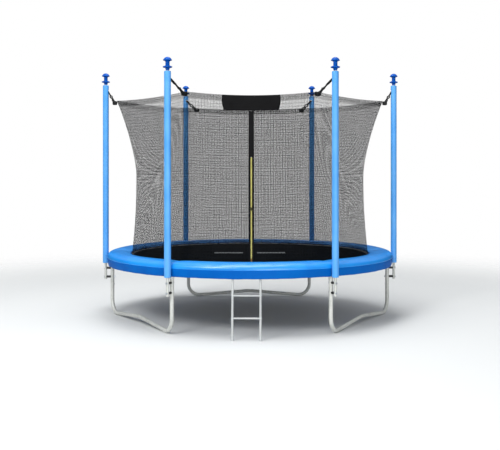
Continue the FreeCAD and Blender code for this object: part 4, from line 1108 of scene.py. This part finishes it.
def sleeveMesh(number, azimuth):
    low = layout["sleeveLow"]
    high = layout["sleeveHigh"]
    radius = sleeve["radius"]
    slotHeight = sleeve["slotHeight"]
    slotHalf = sleeve["slotHalf"]
    rounding = sleeve["rounding"]
    first = low + sleeve["firstRow"]
    run = slotHeight - slotHalf - first
    heights = [low + 2 * mm] + [first + run * k / sleeve["rows"] for k in range(sleeve["rows"] + 1)]
    heights += [slotHeight, slotHeight + slotHalf, slotHeight + 2 * slotHalf]
    points = [(radius - sleeve["wall"], low + 8 * mm), (radius - 0.6 * mm, low + 0.4 * mm)]
    points += [(radius, height) for height in heights]
    points += arcPoints((radius - rounding, high - rounding), rounding, 0, 90, 6)
    points += [(sleeve["mouth"] + 2 * mm, high), (sleeve["mouth"], high - 1.2 * mm)]
    bm = bmesh.new()
    spinProfile(bm, points, sleeve["sides"], False)
    step = math.tau / sleeve["sides"]
    moveAll(bm, Matrix.Rotation(step / 2, 4, "Z"))
    slotFaces = []
    for face in bm.faces:
        centre = face.calc_center_median()
        inward = abs(math.atan2(centre.x, centre.y))
        if inward < step * (sleeve["slotFaces"] + 0.6) and abs(centre.z - slotHeight) < slotHalf:
            slotFaces.append(face)
    bmesh.ops.delete(bm, geom=slotFaces, context="FACES")
    for vert in bm.verts:
        around = azimuthOf(vert)
        body = 1.0 if low + 20 * mm < vert.co.z < high - 12 * mm else 0.0
        spot = Vector((math.cos(around) * 1.2 + 7 * number, math.sin(around) * 1.2, vert.co.z * 9))
        seamAway = abs(abs(around) - sleeve["seamPlace"]) / sleeve["seamHalf"]
        raised = sleeve["seam"] * max(0, 1 - seamAway)
        change = (sleeve["dent"] * (noise.noise(spot) - 0.35) + raised) * body
        scale = 1 + (min(change, 0.0) if seamAway > 1 else change) / radius
        vert.co.x *= scale
        vert.co.y *= scale
    bmesh.ops.recalc_face_normals(bm, faces=bm.faces[:])
    moveAll(bm, turned(azimuth) @ Matrix.Translation((0, -layout["poleRadius"], 0)))
    piece = makePiece("poleSleeve_" + str(number), bm, "sleeve", 60)
    giveThickness(piece, sleeve["wall"])
    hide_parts("pole_sleeve_" + str(number))
    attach(piece, "frame")


def poleFoams():
    low = layout["sleeveLow"] + poleFoam["lowGap"]
    high = layout["sleeveHigh"] - poleFoam["highGap"]
    inner = poleFoam["inner"]
    outer = poleFoam["outer"]
    ease = poleFoam["ease"]
    points = [(inner, low + ease), (inner + ease, low), (outer - ease, low), (outer, low + ease),
              (outer, high - ease), (outer - ease, high), (inner + ease, high), (inner, high - ease)]
    bm = bmesh.new()
    spinProfile(bm, points, 40, True)
    closeUp(bm)
    moveAll(bm, Matrix.Translation((0, -layout["poleRadius"], 0)))
    copyAround(bm, legAzimuths)
    piece = makePiece("poleFoams", bm, "foam")
    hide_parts("pole_foams")
    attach(piece, "frame")


for index, azimuth in enumerate(legAzimuths):
    sleeveMesh(index + 1, azimuth)
poleFoams()
print("sleeves made")

# Elastic loops from the poles to the net's corners
strap = {
    "cord": 5.8 * mm,
    "topSpread": 5.6 * mm,
    "bow": 4.0 * mm,
    "bowStart": 0.36,
    "lowerBow": 2.0 * mm,
    "lowerEnd": 0.94,
    "twist": 7.5 * mm,
    "lowerTwist": 0.7,
    "bottomSpread": 12 * mm,
    "toggleShare": 0.66,
    "height": 1945 * mm,
    "slotDepth": 10 * mm,
    "startRise": 2 * mm,
    "seat": 20 * mm,
    "steps": 30,
    "bandOuter": 14 * mm,
    "bandWidth": 12 * mm,
    "bandThickness": 2 * mm,
}
# Moulded clip on each corner of the net
clip = {
    "top": 50 * mm,
    "bottom": 40 * mm,
    "height": 38 * mm,
    "depth": 36 * mm,
    "dip": 7 * mm,
    "offset": 2.35 * mm,
    "jaw": 5 * mm,
    "round": 0.4,
}


def clipInner(index):
    return layout["poleRadius"] - net["strapSpans"][(index + 1) % legCount] + clip["offset"]


def strapSpread(share):
    # two lens-shaped openings, above and below the cord lock
    knee = strap["toggleShare"]
    if share < knee:
        local = max(0, (share - strap["bowStart"]) / (knee - strap["bowStart"]))
        return strap["topSpread"] + strap["bow"] * math.sin(math.pi * local) ** 2
    local = (share - knee) / (1 - knee)
    wide = strap["topSpread"] + (strap["bottomSpread"] - strap["topSpread"]) * math.sin(math.pi / 2 * local)
    return wide + strap["lowerBow"] * math.sin(math.pi * local)


def strapTwist(share):
    # how far one cord lies above the other inside each opening
    knee = strap["toggleShare"]
    first = max(0, min(1, (share - strap["bowStart"]) / (knee - strap["bowStart"])))
    second = max(0, min(1, (share - knee) / (strap["lowerEnd"] - knee)))
    waves = math.sin(math.pi * first) ** 2 + strap["lowerTwist"] * math.sin(math.pi * second) ** 2
    return strap["twist"] * waves


def strapPath(inner, side, turn):
    start = Vector((0, -layout["poleRadius"] + sleeve["radius"] - strap["slotDepth"],
                    strap["height"] + strap["startRise"]))
    end = Vector((0, -inner - clip["depth"] / 2, layout["netHigh"] - strap["seat"]))
    above = (end - start).cross(axisX).normalized() * turn
    path = []
    for k in range(strap["steps"] + 1):
        share = k / strap["steps"]
        apart = Vector((strapSpread(share), 0, 0)) + above * strapTwist(share)
        path.append(start.lerp(end, share) + side * apart)
    return path


def netStraps():
    bm = bmesh.new()
    for index, azimuth in enumerate(legAzimuths):
        part = bmesh.new()
        for side in (-1, 1):
            path = strapPath(clipInner(index), side, 1 if azimuth > 180 else -1)
            sweep(part, roundSection(strap["cord"], 10), path, axisX)
        turns = [math.radians(angle) for angle in range(0, 361, 15)]
        radius = strap["bandOuter"]
        band = [Vector((radius * math.sin(a), -layout["poleRadius"] - radius * math.cos(a), strap["height"]))
                for a in turns]
        sweep(part, strapSection(strap["bandWidth"], strap["bandThickness"]), band, axisZ)
        bmesh.ops.recalc_face_normals(part, faces=part.faces[:])
        joinPart(bm, part, azimuth)
    piece = makePiece("netStraps", bm, "elastic", 50)
    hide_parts("net_straps")
    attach(piece, "frame")


def cornerClips():
    bm = bmesh.new()
    for index, azimuth in enumerate(legAzimuths):
        part = bmesh.new()
        bmesh.ops.create_cube(part, size=1)
        bmesh.ops.subdivide_edges(part, edges=part.edges[:], cuts=4, use_grid_fill=True)
        for vert in part.verts:
            vert.co *= 1 - clip["round"] * (vert.co.length_squared - 0.25)
            taper = clip["bottom"] + (clip["top"] - clip["bottom"]) * (vert.co.z + 0.5)
            dip = clip["dip"] * math.cos(math.pi * vert.co.x) ** 2 * max(0, vert.co.z) * 2
            vert.co = (vert.co.x * taper, vert.co.y * (clip["depth"] + clip["jaw"]),
                       vert.co.z * clip["height"] - dip)
        out = clipInner(index) + (clip["depth"] - clip["jaw"]) / 2
        moveAll(part, Matrix.Translation((0, -out, layout["netHigh"] - clip["height"] / 2)))
        joinPart(bm, part, azimuth)
    piece = makePiece("cornerClips", bm, "clip")
    subdivide(piece, 2)
    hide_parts("corner_clips")
    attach(piece, "frame")


netStraps()
cornerClips()
print("straps made")

# Webbing ties: slings that hold the pad down, and ties from the net's foot to the ring
tie = {
    "padWidth": 20 * mm,
    "netWidth": 12 * mm,
    "thickness": 1.3 * mm,
    "ringGap": 17.1 * mm,
    "padGap": 0.5 * mm,
    "slingRise": 6 * mm,
    "runHeight": 528.8 * mm,
    "netGap": 3.1 * mm,
    "footBend": ((0, 13 * mm), (0, 4 * mm), (1.2 * mm, 1 * mm), (5 * mm, 0)),
    "runEnd": 20 * mm,
    "runSteps": 6,
}


def tieLoops(name, width, path, count):
    bm = bmesh.new()
    sweep(bm, strapSection(width, tie["thickness"]), uprightPath(path), axisX)
    closeUp(bm)
    copyAround(bm, evenAzimuths(count))
    return makePiece(name, bm, "webbing")


def padTies():
    ring = layout["ringRadius"]
    height = layout["ringHeight"]
    gap = tie["ringGap"]
    top = layout["padLow"] - tie["padGap"]
    path = [(ring + gap, top), (ring + gap, height + tie["slingRise"])]
    path += arcPoints((ring, height), gap, 0, -180, 16)
    path += [(ring - gap, height + tie["slingRise"]), (ring - gap, top)]
    piece = tieLoops("padTies", tie["padWidth"], path, 12)
    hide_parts("pad_ties")
    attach(piece, "frame")


def netTies():
    ring = layout["ringRadius"]
    height = layout["ringHeight"]
    level = tie["runHeight"]
    foot = layout["netFoot"] + tie["netGap"]
    path = [(foot + out, level + rise) for out, rise in tie["footBend"]]
    start = path[-1][0]
    run = ring - tie["runEnd"] - start
    path += [(start + run * k / tie["runSteps"], level) for k in range(1, tie["runSteps"] + 1)]
    touch = math.degrees(math.asin((level - height) / tie["ringGap"]))
    path += arcPoints((ring, height), tie["ringGap"], 180 - touch, -180, 24)
    piece = tieLoops("netTies", tie["netWidth"], path, 24)
    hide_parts("net_ties")
    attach(piece, "frame")


padTies()
netTies()
print("ties made")

# Finishes of the frame's own parts
numbered = [stem + str(k + 1) for stem in ("rim_segment_", "leg_upright_", "pole_lower_") for k in range(legCount)]
nodeFinish = {
    "steel": numbered + ["w_leg_left", "w_leg_right", "w_leg_back", "pole_upper_tubes"],
    "zinc": ["pole_bolts", "frame_screws", "v_rings", "ladder_screws"],
    "paint": ["ladder_rail_left", "ladder_rail_right", "ladder_rungs"],
    "cap": ["pole_caps"],
    "saddle": ["pole_spacers"],
    "clip": ["strap_toggles"],
    "brass": ["zip_slider_lower", "pull_tab_lower"],
    "blackZinc": ["zip_slider_upper", "pull_tab_upper"],
    "rubber": ["ladder_feet"],
}
for finish, nodes in nodeFinish.items():
    for node in nodes:
        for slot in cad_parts[node].material_slots:
            slot.material = materials[finish]
print("frame parts finished")

# Pale floor that fades into the white surroundings
floor = {"radius": 16.0, "fadeStart": 2.6, "fadeEnd": 6.5, "shade": "#D4D6D6"}


def paleFloor():
    bm = bmesh.new()
    bmesh.ops.create_circle(bm, cap_ends=True, radius=floor["radius"], segments=96)
    data = toMesh(bm, "floor")
    material, tree, shader, place = startMaterial("paleFloor", {"Roughness": 0.85, "Specular IOR Level": 0.2})
    shader.inputs["Base Color"].default_value = linear(floor["shade"])
    distance = addNode(tree, "VectorMath", {"operation": "LENGTH"}, {0: place})
    fade = addNode(tree, "MapRange", {"From Min": floor["fadeStart"], "From Max": floor["fadeEnd"],
                                      "interpolation_type": "SMOOTHSTEP"},
                   {"Value": distance.outputs["Value"]})
    clear = addNode(tree, "BsdfTransparent")
    mixed = mixShaders(tree, fade.outputs["Result"], shader, clear)
    tree.links.new(mixed.outputs[0], tree.nodes["Material Output"].inputs["Surface"])
    data.materials.append(material)
    linkObject("floor", data)


# Soft studio light: a large key from the upper left, a low fill, a long one above, an even white surrounding
lights = {
    "key": {"place": (-4.0, -7.0, 6.0), "size": (3.0, 3.0), "power": 450},
    "fill": {"place": (2.0, -8.0, 1.2), "size": (4.0, 4.0), "power": 200},
    "top": {"place": (-0.3, -0.6, 6.0), "size": (2.6, 7.0), "power": 280},
}
lightAim = Vector((0, 0, 0.9))
# Plain white to the camera, even and soft to diffuse rays, dark below and bright above to reflections
surround = {"seen": 1.0, "horizon": 0.06, "zenith": 1.2, "riseStart": 0.25, "riseEnd": 0.8, "soft": 0.55}


def studioLight():
    for name, light in lights.items():
        data = bpy.data.lights.new(name, "AREA")
        data.shape = "ELLIPSE"
        data.size, data.size_y = light["size"]
        data.energy = light["power"]
        lamp = linkObject(name, data)
        lamp.location = light["place"]
        lamp.rotation_euler = (lightAim - Vector(light["place"])).to_track_quat("-Z", "Y").to_euler()
    world = bpy.data.worlds.new("studio")
    world.use_nodes = True
    tree = world.node_tree
    seen = tree.nodes["Background"]
    seen.inputs["Color"].default_value = (1, 1, 1, 1)
    seen.inputs["Strength"].default_value = surround["seen"]
    axes = addNode(tree, "SeparateXYZ", {}, {"Vector": addNode(tree, "TexCoord").outputs["Generated"]})
    rise = addNode(tree, "MapRange", {"From Min": surround["riseStart"], "From Max": surround["riseEnd"],
                                      "To Min": surround["horizon"], "To Max": surround["zenith"]},
                   {"Value": axes.outputs["Z"]})
    lit = addNode(tree, "Background", {"Color": (0.96, 0.98, 1.0, 1)}, {"Strength": rise.outputs["Result"]})
    soft = addNode(tree, "Background", {"Color": (0.97, 0.98, 1.0, 1), "Strength": surround["soft"]})
    ray = addNode(tree, "LightPath").outputs
    spread = mixShaders(tree, ray["Is Diffuse Ray"], lit, soft)
    mixed = mixShaders(tree, ray["Is Camera Ray"], spread, seen)
    tree.links.new(mixed.outputs[0], tree.nodes["World Output"].inputs["Surface"])
    bpy.context.scene.world = world


paleFloor()
studioLight()
